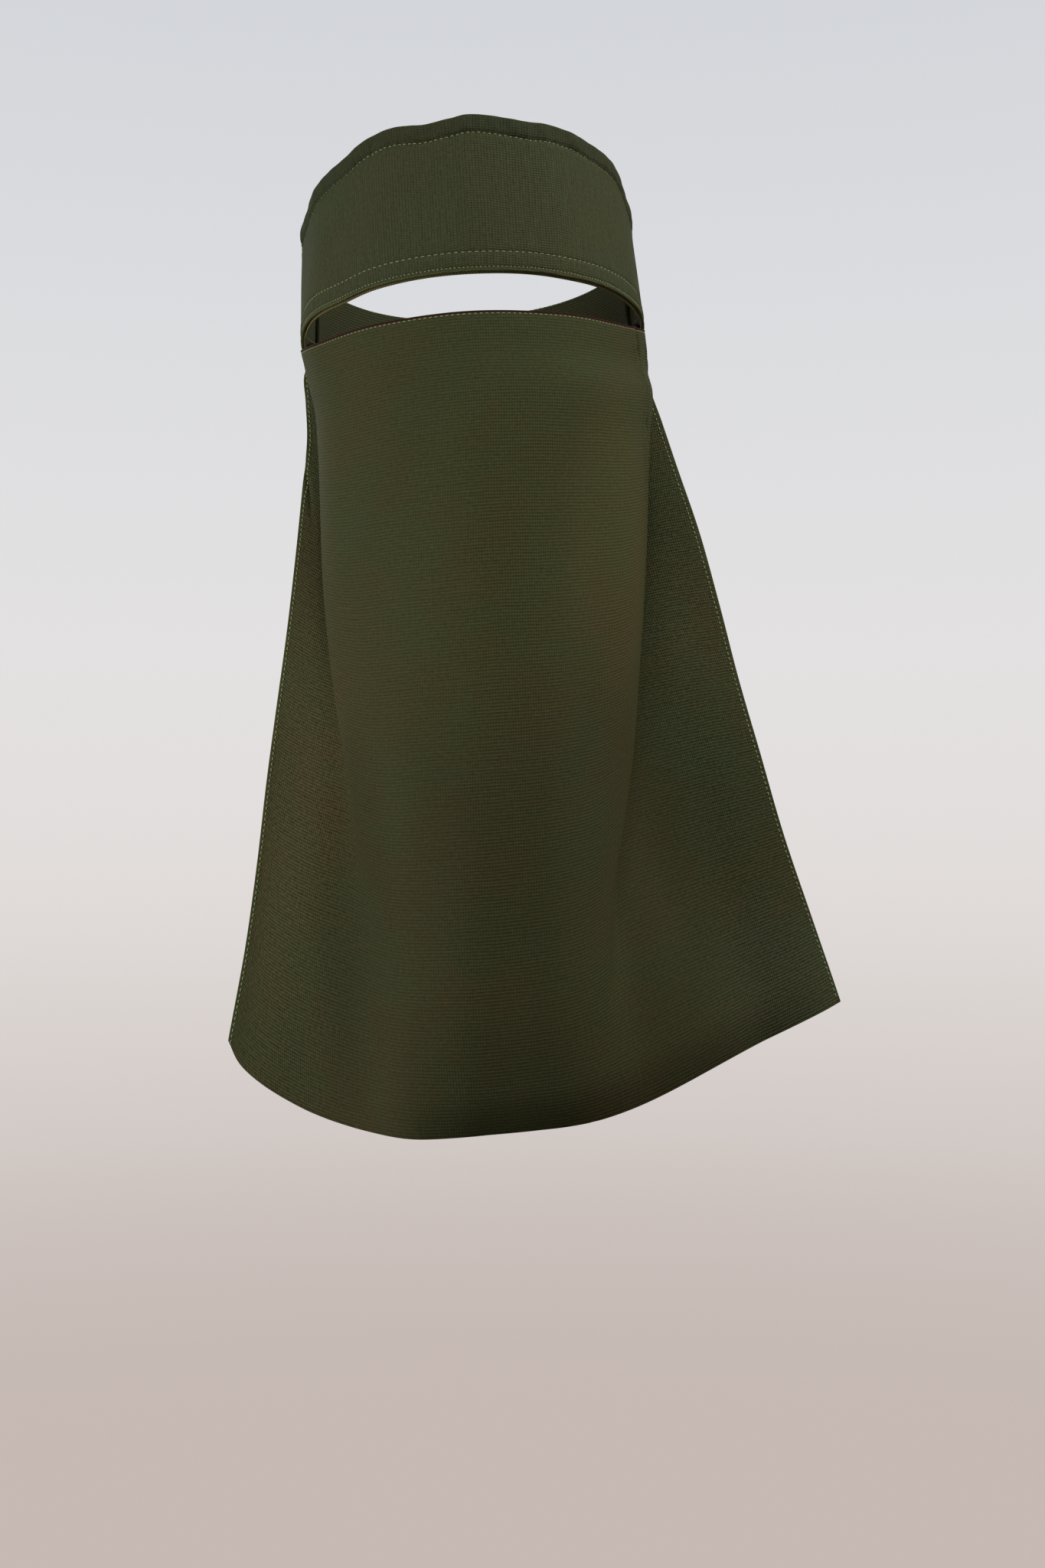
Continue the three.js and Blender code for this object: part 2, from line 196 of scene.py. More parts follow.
# %% Cloth walls
EDGE_STEPS = np.array([0, 0.00004, 0.00014, 0.0003, 0.0005])


def rim_round(distance, radius=0.0005):
    """How much of its thickness a wall has at a distance from its rim, as in a half circle."""
    return np.sqrt(1 - (1 - np.clip(distance / radius, 0, 1)) ** 2)


def rounded(out, inside, rounding):
    """Both faces' offsets, drawn together to their middle at a rim."""
    middle = (out + inside) / 2
    return middle + (out - middle) * rounding, middle + (inside - middle) * rounding


def grid_normals(grid):
    """Unit normals of a grid whose rows run down and columns to the viewer's right."""
    down = np.gradient(grid, axis=0)
    across = np.gradient(grid, axis=1)
    normal = np.cross(down, across)
    return normal / np.maximum(np.linalg.norm(normal, axis=-1, keepdims=True), 1e-12)


def lengths_along(grid, axis):
    """The distance travelled along each row (axis 1) or column (axis 0)."""
    step = np.linalg.norm(np.diff(grid, axis=axis), axis=-1)
    start = np.zeros_like(np.take(step, [0], axis=axis))
    return np.concatenate([start, np.cumsum(step, axis=axis)], axis=axis)


def mesh_object(name, points, faces):
    """A smooth mesh, put in the scene."""
    mesh = bpy.data.meshes.new(name)
    mesh.from_pydata(points, [], faces)
    mesh.polygons.foreach_set("use_smooth", np.ones(len(mesh.polygons), bool))
    made = bpy.data.objects.new(name, mesh)
    bpy.context.scene.collection.objects.link(made)
    return made


def wall_piece(name, outer, inner, uv, edges=None):
    """A closed mesh between two grids that share their rim. Edges is a second map: distances to hems."""
    rows, columns = outer.shape[:2]
    front = np.arange(rows * columns).reshape(rows, columns)
    back = front.copy()
    inside = (rows - 2) * (columns - 2)
    back[1:-1, 1:-1] = rows * columns + np.arange(inside).reshape(rows - 2, columns - 2)
    points = np.vstack([outer.reshape(-1, 3), inner[1:-1, 1:-1].reshape(-1, 3)])

    def quads(grid):
        corners = [grid[:-1, :-1], grid[1:, :-1], grid[1:, 1:], grid[:-1, 1:]]
        return np.stack(corners, axis=-1).reshape(-1, 4)

    faces = np.vstack([quads(front), quads(back)[:, ::-1]])
    corners = np.vstack([quads(front), quads(front)[:, ::-1]])
    made = mesh_object(name, points.tolist(), faces.tolist())
    for title, places in (("cloth", uv), ("edges", edges)):
        if places is not None:
            layer = made.data.uv_layers.new(name=title)
            layer.data.foreach_set("uv", places.reshape(-1, 2)[corners.ravel()].astype(np.float32).ravel())
    return made


def cloth_uv(grid):
    """Metres across, from the middle column, and down, from the top row."""
    across = lengths_along(grid, 1)
    middle = across.shape[1] // 2
    return np.stack([across - across[:, middle : middle + 1], lengths_along(grid, 0)], axis=-1)


print("rows that round a rim, in mm:", (EDGE_STEPS * 1000).round(2))

# %% [markdown]
# Topstitching is what gives sewn cloth away, so every stitch is a small bent thread of its own. Each
# dives into the cloth at both ends. A row is read off the wall's own grid at its distance from the edge,
# so it always lies on the cloth, and all stitches of a piece are joined in one mesh. A tight machine
# pulls some stretches of thread deep into the cloth: a short table says how high it rises at each share
# of the row.

# %% Stitches
THREAD_RADIUS = 0.00024
STITCH_RINGS = 7
STITCH_SIDES = 6
STITCH_DIVE = 1.9  # in thread radii, at both ends
STITCH_TAPER = 0.35
EVEN_RISE = ((0, 0.9), (1, 0.9))


def stitch_row(path, normals, pitch, rises=EVEN_RISE, share=0.6, thick=THREAD_RADIUS):
    """Vertices and faces of evenly spaced stitches along a path. Share is a stitch's part of the pitch."""
    travelled = np.concatenate([[0], np.cumsum(np.linalg.norm(np.diff(path, axis=0), axis=1))])
    middles = np.arange(pitch / 2, travelled[-1] - pitch / 2, pitch)
    along = np.linspace(-1, 1, STITCH_RINGS)
    places = middles[:, None] + along * pitch * share / 2
    centre = read_along(path, travelled, places)
    normal = read_along(normals, travelled, places)
    normal /= np.linalg.norm(normal, axis=-1, keepdims=True)
    forward = np.gradient(centre, axis=1)
    forward /= np.linalg.norm(forward, axis=-1, keepdims=True)
    side = np.cross(forward, normal)
    rise = np.interp(middles / travelled[-1], *np.array(rises).T)[:, None]
    centre = centre + normal * (thick * (rise - STITCH_DIVE * along**4))[..., None]
    radius = (thick * (1 - STITCH_TAPER * along**6))[None, :, None, None]
    turn = np.arange(STITCH_SIDES) * 2 * math.pi / STITCH_SIDES
    ring = side[:, :, None] * np.cos(turn)[:, None] + normal[:, :, None] * np.sin(turn)[:, None]
    points = (centre[:, :, None] + ring * radius).reshape(len(middles), -1, 3)
    faces = []
    for i in range(STITCH_RINGS - 1):
        for k in range(STITCH_SIDES):
            a, b = i * STITCH_SIDES + k, i * STITCH_SIDES + (k + 1) % STITCH_SIDES
            faces.append((a, b, b + STITCH_SIDES, a + STITCH_SIDES))
    caps = [tuple(range(STITCH_SIDES))[::-1], tuple(range(len(points[0]) - STITCH_SIDES, len(points[0])))]
    return points, faces, caps


def both_faces(grids, distances, wanted, pitch, ends, side=1, **look):
    """Stitch rows on the outer and inner face at one distance from an edge. Ends is the part of the grid's
    columns that is stitched, side is -1 for grids on their side, and look goes on to stitch_row."""
    row = int(np.argmin(np.abs(distances[:, distances.shape[1] // 2] - wanted)))
    rows = []
    for grid, facing in zip(grids, (side, -side)):
        normals = grid_normals(grid) * facing
        rows.append(stitch_row(grid[row][ends], normals[row][ends], pitch, **look))
    return rows


def stitches(name, rows):
    """One joined mesh of all the stitch rows."""
    points, faces = [], []
    for row, sides, caps in rows:
        for stitch in row:
            start = len(points) * STITCH_RINGS * STITCH_SIDES
            points.append(stitch)
            faces += [tuple(start + corner for corner in face) for face in sides + caps]
    print(name, "has", len(points), "stitches")
    return mesh_object(name, np.concatenate(points).tolist(), faces)


# %% [markdown]
# The forehead band has a wavy top, where its casing is turned and stitched down, and a curved brow edge
# with two rows of topstitching. Its two edges are a table of heights, as shares of the band's height, and
# its section is a second table: how far the outer and inner face stand out at each distance from an edge.
# The stitch lines pinch the cloth, and the casing swells above its line.

# %% Band sizes
BAND_HEIGHT = 0.071
BAND_END = 110
HEM_WIDTH = 0.0085
BROW_ROWS = (0.0087, 0.0018)
BAND_EDGES = [  # angle, low, high
    (-110, -0.085, 0.61),
    (-90, -0.105, 0.65),
    (-75, -0.055, 0.7),
    (-66, -0.04, 0.77),
    (-58, -0.04, 0.825),
    (-44, -0.045, 0.88),
    (-32, -0.025, 0.955),
    (-23, -0.018, 0.974),
    (-12, -0.013, 0.957),
    (-3, -0.012, 0.978),
    (4, -0.012, 0.998),
    (13, -0.012, 0.987),
    (23, -0.015, 0.966),
    (33, -0.022, 0.97),
    (46, -0.026, 0.94),
    (58, -0.04, 0.905),
    (66, -0.05, 0.875),
    (74, -0.055, 0.79),
    (90, -0.105, 0.66),
    (110, -0.085, 0.61),
]
FROM_TOP = [  # millimetres below the top edge, outer face, inner face
    (0, 2.15, 0.05),
    (1.5, 2.5, 0),
    (4.5, 2.6, 0),
    (7, 2.35, 0),
    (8.5, 1.55, 0.45),
    (9.8, 2.05, 0.5),
    (14, 2.15, 0.5),
]
FROM_BROW = [  # millimetres above the brow edge, outer face, inner face
    (0, 2.1, 0.6),
    (1.1, 2.2, 0.55),
    (1.8, 1.85, 0.6),
    (2.7, 2.15, 0.55),
    (5.5, 2.3, 0.5),
    (7.8, 2.15, 0.5),
    (8.7, 1.75, 0.6),
    (9.7, 2.05, 0.5),
    (14, 2.15, 0.5),
]


def band_edge(angle):
    """Heights of the band's brow edge and top edge at each angle."""
    table = np.array(BAND_EDGES)
    return (smooth_table(table[:, 0], table[:, 1:], angle) * BAND_HEIGHT).T


print("band height at the middle:", np.diff(band_edge(np.array([0.0])), axis=0).round(4).ravel())

# %% [markdown]
# The band's grid takes its rows at chosen distances from both edges, close together where it is stitched.
# A seamed edge is never even, so sine waves of several lengths are added: long ones lift the casing in
# lumps, short ones pucker the cloth beside the stitch lines, and a slow one stands for slack in the
# middle.

# %% The band's faces
BAND_COLUMNS = 400
BAND_BODY_ROWS = 30
FINE_ROWS_END = 0.0135  # from an edge
LUMP = 0.00042
PUCKER = 0.0002
SLACK_WAVE = (0.0005, 0.21, 0.6, 12)  # height, pace across, start, pace down
INLAND = 0.03
CASING_PLACE = (0.004, 0.0045)  # middle and width
CASING_SEAM = (HEM_WIDTH, 0.003)
BROW_SEAMS = (0.005, 0.0035)
LUMP_WAVES = (  # height, pace, start, shift, pace of the shift
    (1, 0.31, 1, 0, 0),
    (0.8, 0.57, 0, 3, 0.05),
    (0.4, 1.1, 0, 0, 0),
)
PUCKER_WAVES = ((1, 1.9, 0, 2, 0.13), (0.6, 2.9, 1, 0, 0))
TOP_ROWS_EVERY = 0.0005
BROW_ROWS_EVERY = 0.0003


def band_rows():
    """Distances below the top edge, and above the brow edge, that the grid's rows take."""
    top = np.concatenate([EDGE_STEPS, np.arange(0.001, FINE_ROWS_END, TOP_ROWS_EVERY)])
    brow = np.concatenate([EDGE_STEPS, np.arange(0.0009, FINE_ROWS_END, BROW_ROWS_EVERY)])
    return top, brow


def uneven_waves(angle, table):
    """Sine waves added up. Each has a height, pace and start, and a shift that comes and goes."""
    waves = 0
    for height, pace, start, shift, shift_pace in table:
        waves = waves + height * np.sin(angle * pace + start + shift * np.sin(angle * shift_pace))
    return waves


def section_faces(table, distance):
    """The outer and inner face of a section table, in metres, at distances from its edge."""
    table = np.array(table)
    millimetres = np.clip(distance.ravel() * 1000, 0, table[-1, 0])
    return smooth_table(table[:, 0], table[:, 1:], millimetres) / 1000


def band_offsets(angle, below_top, above_brow):
    """Outer and inner distance from the head of the band's faces."""
    near_top = (below_top < above_brow).ravel()[:, None]
    faces = np.where(near_top, section_faces(FROM_TOP, below_top), section_faces(FROM_BROW, above_brow))
    lumps = LUMP * uneven_waves(angle, LUMP_WAVES) * bump(below_top, *CASING_PLACE)
    seams = bump(below_top, *CASING_SEAM) + 0.5 * bump(above_brow, *BROW_SEAMS)
    puckers = PUCKER * uneven_waves(angle, PUCKER_WAVES) * seams
    inland = np.clip(below_top / INLAND, 0, 1) * np.clip(above_brow / INLAND, 0, 1)
    slack = wave_over(angle, below_top, SLACK_WAVE) * inland
    return faces.T.reshape(2, *below_top.shape) + np.stack([lumps + puckers + slack, slack])


def forehead_band():
    """The band's two grids, with its map and each point's distances from the top and brow edge."""
    half = np.linspace(0, BAND_END, BAND_COLUMNS // 2 + 1)
    arc = math.pi * (HEAD_HALF_WIDTH + HEAD_HALF_LENGTH) / 360
    half = np.unique(np.concatenate([half[:-1], BAND_END - EDGE_STEPS / arc]))
    angles = np.concatenate([-half[:0:-1], half])
    low, high = band_edge(angles)
    top, brow = band_rows()
    body = np.linspace(0, 1, BAND_BODY_ROWS)[1:-1]
    tall = high - low
    below = np.vstack(
        [
            np.broadcast_to(top[:, None], (len(top), len(angles))),
            top[-1] + body[:, None] * (tall - top[-1] - brow[-1]),
            tall - brow[::-1, None],
        ]
    )
    above = tall - below
    ends = rim_round((BAND_END - np.abs(angles)) * arc)
    rounding = rim_round(below) * rim_round(above) * ends
    spread_angles = np.broadcast_to(angles, below.shape)
    faces = rounded(*band_offsets(spread_angles, below, above), rounding)
    outer, inner = (ring_point(spread_angles, high - below, offset) for offset in faces)
    return outer, inner, cloth_uv(outer), below, above


band_outer, band_inner, band_uv, band_below, band_above = forehead_band()
band_edges = np.stack([band_below, band_above], axis=-1)
band_cloth = wall_piece("band_cloth", band_outer, band_inner, band_uv, band_edges)
print("band triangles:", 2 * len(band_cloth.data.polygons))

# %% [markdown]
# The band's three rows of topstitching follow its edges. The machine stitches both faces alike. The
# thread shows best in the middle of the forehead, and sinks into the cloth towards the temples.

# %% Band stitches
CASING_PITCH = 0.0025
BROW_UPPER_PITCH = 0.003
BROW_EDGE_PITCH = 0.0019
BROW_EDGE_SHARE = 0.48
BAND_ROW_ENDS = slice(6, -6)
CASING_RISES = ((0, -0.85), (0.35, -0.7), (0.385, 0.95), (0.52, 0.8), (0.57, 0), (0.7, -0.75), (1, -0.85))
BROW_RISES = ((0, -0.2), (0.32, 0.2), (0.4, 0.95), (0.6, 0.9), (0.68, 0.2), (1, -0.2))

band_rows_sewn = []
for from_edge, wanted, pitch, look in (
    (band_below, HEM_WIDTH, CASING_PITCH, {"rises": CASING_RISES}),
    (band_above, BROW_ROWS[0], BROW_UPPER_PITCH, {"rises": BROW_RISES}),
    (band_above, BROW_ROWS[1], BROW_EDGE_PITCH, {"rises": BROW_RISES, "share": BROW_EDGE_SHARE}),
):
    band_rows_sewn += both_faces((band_outer, band_inner), from_edge, wanted, pitch, BAND_ROW_ENDS, **look)
band_stitches = stitches("band_stitches", band_rows_sewn)

# %% [markdown]
# The facing is a plain strip behind the brow edge. Only its lower edge shows from the front, as a thin
# line below the band, and its whole face shows from behind. It is coloured paler than the band: painted
# light, for light that falls on it from below.

# %% Brow facing
FACING_END = 79
FACING_HEIGHT = 0.010
FACING_SHOW = 0.0006
FACING_OUT = 0.00015
FACING_WALL = 0.001


def strip_grids(angles, low, high, outside, inside, rows):
    """Outer and inner grid of a plain strip round the head, its rims rounded."""
    tall = high - low
    edge = EDGE_STEPS / tall.mean()
    shares = np.concatenate([edge, np.linspace(edge[-1], 1 - edge[-1], rows)[1:-1], 1 - edge[::-1]])
    height = high - shares[:, None] * tall
    turned = np.broadcast_to(angles, height.shape)
    run = np.abs(angles - angles[0]) * math.radians(HEAD_HALF_WIDTH)
    ends = rim_round(np.minimum(run, run[-1] - run))
    rims = rim_round(shares * tall.mean()) * rim_round((1 - shares) * tall.mean())
    return [ring_point(turned, height, face) for face in rounded(outside, inside, rims[:, None] * ends)]


def strip_angles(start, end, step=0.8):
    """Angles with close steps at both ends, where the strip's rim is rounded."""
    near = np.degrees(EDGE_STEPS / HEAD_HALF_WIDTH)
    count = round((end - start) / step)
    middle = np.linspace(start + near[-1], end - near[-1], count)
    return np.concatenate([start + near[:-1], middle, (end - near[:-1])[::-1]])


def strip_piece(name, angles, low, height, inside, wall, rows=14):
    """A strip as a closed wall, and its two grids."""
    outer, inner = strip_grids(angles, low, low + height, inside + wall, inside, rows)
    return wall_piece(name, outer, inner, cloth_uv(outer)), (outer, inner)


facing_angles = strip_angles(-FACING_END, FACING_END)
facing_low = band_edge(facing_angles)[0] - FACING_SHOW
facing_cloth, _ = strip_piece(
    "facing_cloth", facing_angles, facing_low, FACING_HEIGHT, FACING_OUT - FACING_WALL, FACING_WALL
)
print("facing triangles:", 2 * len(facing_cloth.data.polygons))

# %% [markdown]
# Two plain straps run from inside the band's ends to the back, where one lies over the other with a
# fastening strip between them. They are hidden in the photograph, so they are finished simply: a folded
# tube of the band's cloth, pressed flat, with one row of stitches near each edge.

# %% Straps and closure
STRAP_START = 102
STRAP_STEP_FROM = 114
STRAP_STEP_TO = 161
STRAP_HEIGHT = 0.034
STRAP_INSET = 0.002
STRAP_OVERLAP = 17
STRAP_WALL = 0.0016
SEAM_GAP = 0.00035
CLOSURE_WALL = 0.0012
CLOSURE_SPAN = 13
CLOSURE_HEIGHT = 0.024
BACK = 180
STRAP_STITCH_IN = 0.003
STRAP_PITCH = 0.003
STRAP_ROW_ENDS = slice(8, -8)

strap_low = float(band_edge(np.array([float(BAND_END)]))[0][0]) + STRAP_INSET
closure_layer = STRAP_WALL + SEAM_GAP
outer_layer = closure_layer + CLOSURE_WALL + SEAM_GAP


def strap(name, side, layer_at_back):
    """One strap and its stitches. It eases from under the band out to its layer at the back."""
    angles = strip_angles(STRAP_START, BACK + STRAP_OVERLAP, 0.9)
    share = np.clip((angles - STRAP_STEP_FROM) / (STRAP_STEP_TO - STRAP_STEP_FROM), 0, 1)
    joined = -SEAM_GAP - STRAP_WALL
    inside = joined + (layer_at_back - joined) * eased(share)
    turned = angles * side
    if side < 0:
        turned, inside = turned[::-1], inside[::-1]
    low = np.full(len(turned), strap_low)
    cloth, faces = strip_piece(f"{name}_cloth", turned, low, STRAP_HEIGHT, inside, STRAP_WALL, rows=34)
    count, columns = faces[0].shape[:2]
    down = np.broadcast_to(np.linspace(0, STRAP_HEIGHT, count)[:, None], (count, columns))
    rows = []
    for wanted in (STRAP_STITCH_IN, STRAP_HEIGHT - STRAP_STITCH_IN):
        rows += both_faces(faces, down, wanted, STRAP_PITCH, STRAP_ROW_ENDS)
    return cloth, stitches(f"{name}_stitches", rows)


left_strap, left_strap_stitches = strap("left_strap", -1, outer_layer)
right_strap, right_strap_stitches = strap("right_strap", 1, 0)

closure_angles = strip_angles(BACK - CLOSURE_SPAN, BACK + CLOSURE_SPAN)
closure_low = np.full(len(closure_angles), strap_low + (STRAP_HEIGHT - CLOSURE_HEIGHT) / 2)
closure_tape, _ = strip_piece(
    "closure_tape", closure_angles, closure_low, CLOSURE_HEIGHT, closure_layer, CLOSURE_WALL
)
print("strap triangles:", 2 * len(left_strap.data.polygons))

# %% [markdown]
# The veil is one long cloth. It is described by sections from the top edge down. Each section is read in
# plan from the left side hem to the right: side panel, tuck, fold, front panel, and the same again
# mirrored. All values are shares of a few sizes, so a change of one size moves everything that follows
# it.

# %% Veil sizes and sections
VEIL_LENGTH = 0.35
CHEST_STAND = 0.037
EYE_OPENING = 0.021
NOSE_STAND = 0.011
SEAM_TUCK = 0.0075
SEWN_OUT = -0.00045
FLARE = {-1: 0.026, 1: 0.091}
SIDE_LENGTH = {-1: 0.334, 1: 0.33}
HEM_CURL = {-1: 0.002, 1: 0.007}
LOWER_HEM = [  # along, left rise, right rise
    (0, 0, 0),
    (0.25, -0.05, 0.11),
    (0.4, -0.08, 0.29),
    (0.6, 0.09, 0.59),
    (0.8, 0.35, 0.82),
    (0.92, 0.6, 0.93),
    (1, 1, 1),
]
TOP_EDGE = [  # angle, drop, stand
    (0, 1, 1),
    (26, 0.99, 0.82),
    (52, 0.91, 0.5),
    (72, 0.65, 0.24),
    (80, 0.5, 0.1),
]
SEWN_EDGE = [(87, -0.3), (91, 0.55), (96, 0.95), (101, 1)]  # angle, rise
FRONT = [  # down, fore, round
    (0.05, 0.85, 1),
    (0.09, 0.875, 1),
    (0.15, 0.895, 1),
    (0.22, 0.9, 1),
    (0.32, 0.905, 0.97),
    (0.43, 0.915, 0.93),
    (0.54, 0.93, 0.88),
    (0.65, 0.95, 0.8),
    (0.76, 0.97, 0.7),
    (0.88, 0.99, 0.6),
    (1, 1, 0.5),
]
SIDES = {  # fold out, fold fore, tuck out, tuck fore, hem out, hem fore, belly
    -1: [
        (0.955, 0.08, 0.92, 0, 0.09, -0.07, 0),
        (0.915, 0.11, 0.875, 0.01, 0.06, -0.06, 0),
        (0.887, 0.15, 0.85, 0.04, 0.01, -0.02, 0),
        (0.863, 0.22, 0.822, 0.105, 0.05, 0.04, 0.01),
        (0.828, 0.33, 0.79, 0.225, 0.115, 0.135, 0.01),
        (0.765, 0.45, 0.745, 0.375, 0.21, 0.235, 0.01),
        (0.685, 0.58, 0.67, 0.505, 0.33, 0.325, 0.01),
        (0.59, 0.7, 0.605, 0.605, 0.455, 0.405, 0.01),
        (0.48, 0.82, 0.575, 0.7, 0.57, 0.465, 0.015),
        (0.375, 0.92, 0.57, 0.785, 0.74, 0.525, 0.02),
        (0.27, 0.985, 0.6, 0.835, 1, 0.57, 0.02),
    ],
    1: [
        (1.02, 0.08, 0.96, -0.005, 0.055, -0.09, 0),
        (1.06, 0.09, 0.98, -0.015, 0.065, -0.08, 0),
        (1.045, 0.105, 0.975, -0.01, 0.135, -0.06, 0),
        (1.03, 0.145, 0.95, 0.03, 0.21, -0.015, 0.01),
        (1.015, 0.205, 0.925, 0.09, 0.32, 0.045, 0.015),
        (0.985, 0.295, 0.895, 0.195, 0.42, 0.1, 0.02),
        (0.935, 0.415, 0.875, 0.33, 0.515, 0.15, 0.03),
        (0.865, 0.565, 0.82, 0.475, 0.62, 0.2, 0.04),
        (0.795, 0.7, 0.8, 0.6, 0.725, 0.24, 0.055),
        (0.745, 0.83, 0.875, 0.745, 0.86, 0.285, 0.07),
        (0.74, 0.935, 0.97, 0.87, 1, 0.33, 0.075),
    ],
}
PANEL_STATIONS = (0.31, 0.61, 0.87)
SIDE_STATIONS = ((0.44, 0.88), (0.88, 0.5))  # along, bow
REACH = HEAD_HALF_LENGTH + CHEST_STAND


def head_row(lower):
    """The veil's stations on the head, lowered by some distance, from the left side hem to the right."""
    halves = []
    for side in (-1, 1):
        top = []
        for angle, drop, stand in TOP_EDGE:
            top.append(ring_point(side * angle, -drop * EYE_OPENING - lower, stand * NOSE_STAND))
        for angle, rise in SEWN_EDGE:
            brow = band_edge(np.array([float(side * angle)]))[0][0]
            top.append(ring_point(side * angle, brow + rise * SEAM_TUCK - lower, SEWN_OUT))
        halves.append(np.array(top))
    return np.vstack([halves[0][:0:-1], halves[1]])


def plan_half(front, row, side, middle, curl):
    """Half a section in plan, from the middle of the front panel to the side hem."""
    fold_out, fold_fore, tuck_out, tuck_fore, hem_out, hem_fore, belly = row
    fold = np.array([side * fold_out * HEAD_HALF_WIDTH, -fold_fore * REACH + curl, 0])
    tuck = np.array([side * tuck_out * HEAD_HALF_WIDTH, -tuck_fore * REACH + curl, 0])
    hem = np.array([side * (HEAD_HALF_WIDTH + hem_out * FLARE[side]), -hem_fore * REACH, 0])
    turn = math.radians(90) * front[2]
    panel = []
    for share in PANEL_STATIONS:
        x = middle[0] + (fold[0] - middle[0]) * math.sin(turn * share) / math.sin(turn)
        y_share = (math.cos(turn * share) - math.cos(turn)) / (1 - math.cos(turn))
        panel.append(np.array([x, fold[1] + (middle[1] - fold[1]) * y_share, 0]))
    bellies = [np.array([0, bow * belly * REACH, 0]) for _, bow in SIDE_STATIONS]
    side_panel = [tuck + (hem - tuck) * s[0] - bulge for s, bulge in zip(SIDE_STATIONS, bellies)]
    return np.array([middle, *panel, fold, tuck, *side_panel, hem])


def hang_half(points, top, down, side):
    """Sets each station's height: it hangs from its place on the top edge to the lower hem."""
    travelled = lengths_along(points[None], 1)[0]
    table = np.array(LOWER_HEM)
    share = smooth_table(table[:, 0], table[:, 1 if side < 0 else 2], travelled / travelled[-1]).ravel()
    lowest = top[0, 2] - VEIL_LENGTH
    corner = top[-1, 2] - SIDE_LENGTH[side]
    points[:, 2] = top[:, 2] + (lowest + (corner - lowest) * share - top[:, 2]) * down


def veil_sections():
    """Where the sections lie down the veil, and their stations."""
    top = head_row(0)
    centre = len(top) // 2
    sections = []
    for i, front in enumerate(FRONT):
        down, fore, _ = front
        curl = HEM_CURL if down == 1 else {-1: 0, 1: 0}
        middle_x = (SIDES[1][i][0] - SIDES[-1][i][0]) * HEAD_HALF_WIDTH / 2
        middle = np.array([middle_x, -fore * REACH + (curl[-1] + curl[1]) / 2, 0])
        halves = {}
        for side, top_half in ((-1, top[centre::-1]), (1, top[centre:])):
            halves[side] = plan_half(front, SIDES[side][i], side, middle, curl[side])
            hang_half(halves[side], top_half, down, side)
        sections.append(np.vstack([halves[-1][:0:-1], halves[1]]))
    sewn_down = SEAM_TUCK / VEIL_LENGTH
    sewn = head_row(SEAM_TUCK)
    loose = slice(len(SEWN_EDGE), len(top) - len(SEWN_EDGE))
    sewn[loose] = top[loose] + (sections[0][loose] - top[loose]) * sewn_down / FRONT[0][0]
    return np.array([0, sewn_down] + [row[0] for row in FRONT]), np.array([top, sewn, *sections])


section_downs, section_points = veil_sections()
print("veil sections and stations:", section_points.shape[:2])

# %% [markdown]
# The veil's grid is read off those sections. Its rows and columns lie close together at the hems, where
# the cloth is folded over and stitched, and evenly between them.

# %% The veil's middle surface
VEIL_ROWS = 140
COLUMNS_PER_SPAN = 14
COLUMN_LENGTH = 0.36
HEM_STEPS = np.array([0.0008, 0.0013, 0.0019, 0.0024, 0.0027, 0.0030, 0.0034, 0.0039, 0.0045])
TOP_STEPS = np.array([0.0007, 0.0010, 0.0013, 0.0016, 0.0019, 0.0023, 0.0027, 0.0034])


def hem_places(steps, total):
    """Distances from both hems along a length, and how they are counted from either end."""
    return np.concatenate([EDGE_STEPS, steps]), total - np.concatenate([EDGE_STEPS, steps])[::-1]


def veil_middle():
    """The veil's middle surface, with each point's distance from the top, lower and side hems."""
    near_top, near_low = hem_places(TOP_STEPS, COLUMN_LENGTH)
    body = np.linspace(near_top[-1], near_low[0], VEIL_ROWS)[1:-1]
    below = np.concatenate([near_top, body, near_low])
    rows = smooth_table(section_downs, section_points, below / COLUMN_LENGTH)
    rows = rows.reshape(len(below), -1, 3)
    spans = rows.shape[1] - 1
    dense = curve_across(rows, np.linspace(0, spans, spans * 30 + 1))
    travelled = lengths_along(dense, 1)
    near, _ = hem_places(HEM_STEPS, 1)
    between = np.linspace(0, dense.shape[1] - 1, spans * COLUMNS_PER_SPAN + 1)[1:-1].round().astype(int)
    grid, beside = [], []
    for line, run in zip(dense, travelled):
        total = run[-1]
        inner = near[-1] + run[between] * (total - 2 * near[-1]) / total
        places = np.concatenate([near, inner, total - near[::-1]])
        grid.append(read_along(line, run, places))
        beside.append(places)
    return np.array(grid), np.broadcast_to(below[:, None], np.shape(beside)), np.array(beside)


veil_grid, veil_below, veil_beside = veil_middle()
print("veil grid:", veil_grid.shape[:2], "widths in mm:", (veil_beside[::60, -1] * 1000).round())

# %% [markdown]
# On the left the fold starts crisp at the temple and opens out as it runs down, until it is only a soft
# ridge over the chest. The sections give a fold of one sharpness, so each row is averaged across the
# fold, over a distance that grows towards the lower hem.

# %% Soften the lower left fold
FOLD_STATION = len(SIDE_STATIONS) + 2  # counted from a side hem
SOFT_FROM = 0.13
SOFT_FULL = 0.28
SOFT_WIDTH = 0.013
SOFT_START = 0.3  # share of the width where it starts
SOFT_REACH = 0.045
SOFT_HOLD = 1.4  # above 1, so that the middle is averaged fully


def fold_column(columns, side):
    """The column that runs down a fold."""
    column = len(EDGE_STEPS) + len(HEM_STEPS) + FOLD_STATION * COLUMNS_PER_SPAN - 1
    return column if side < 0 else columns - 1 - column


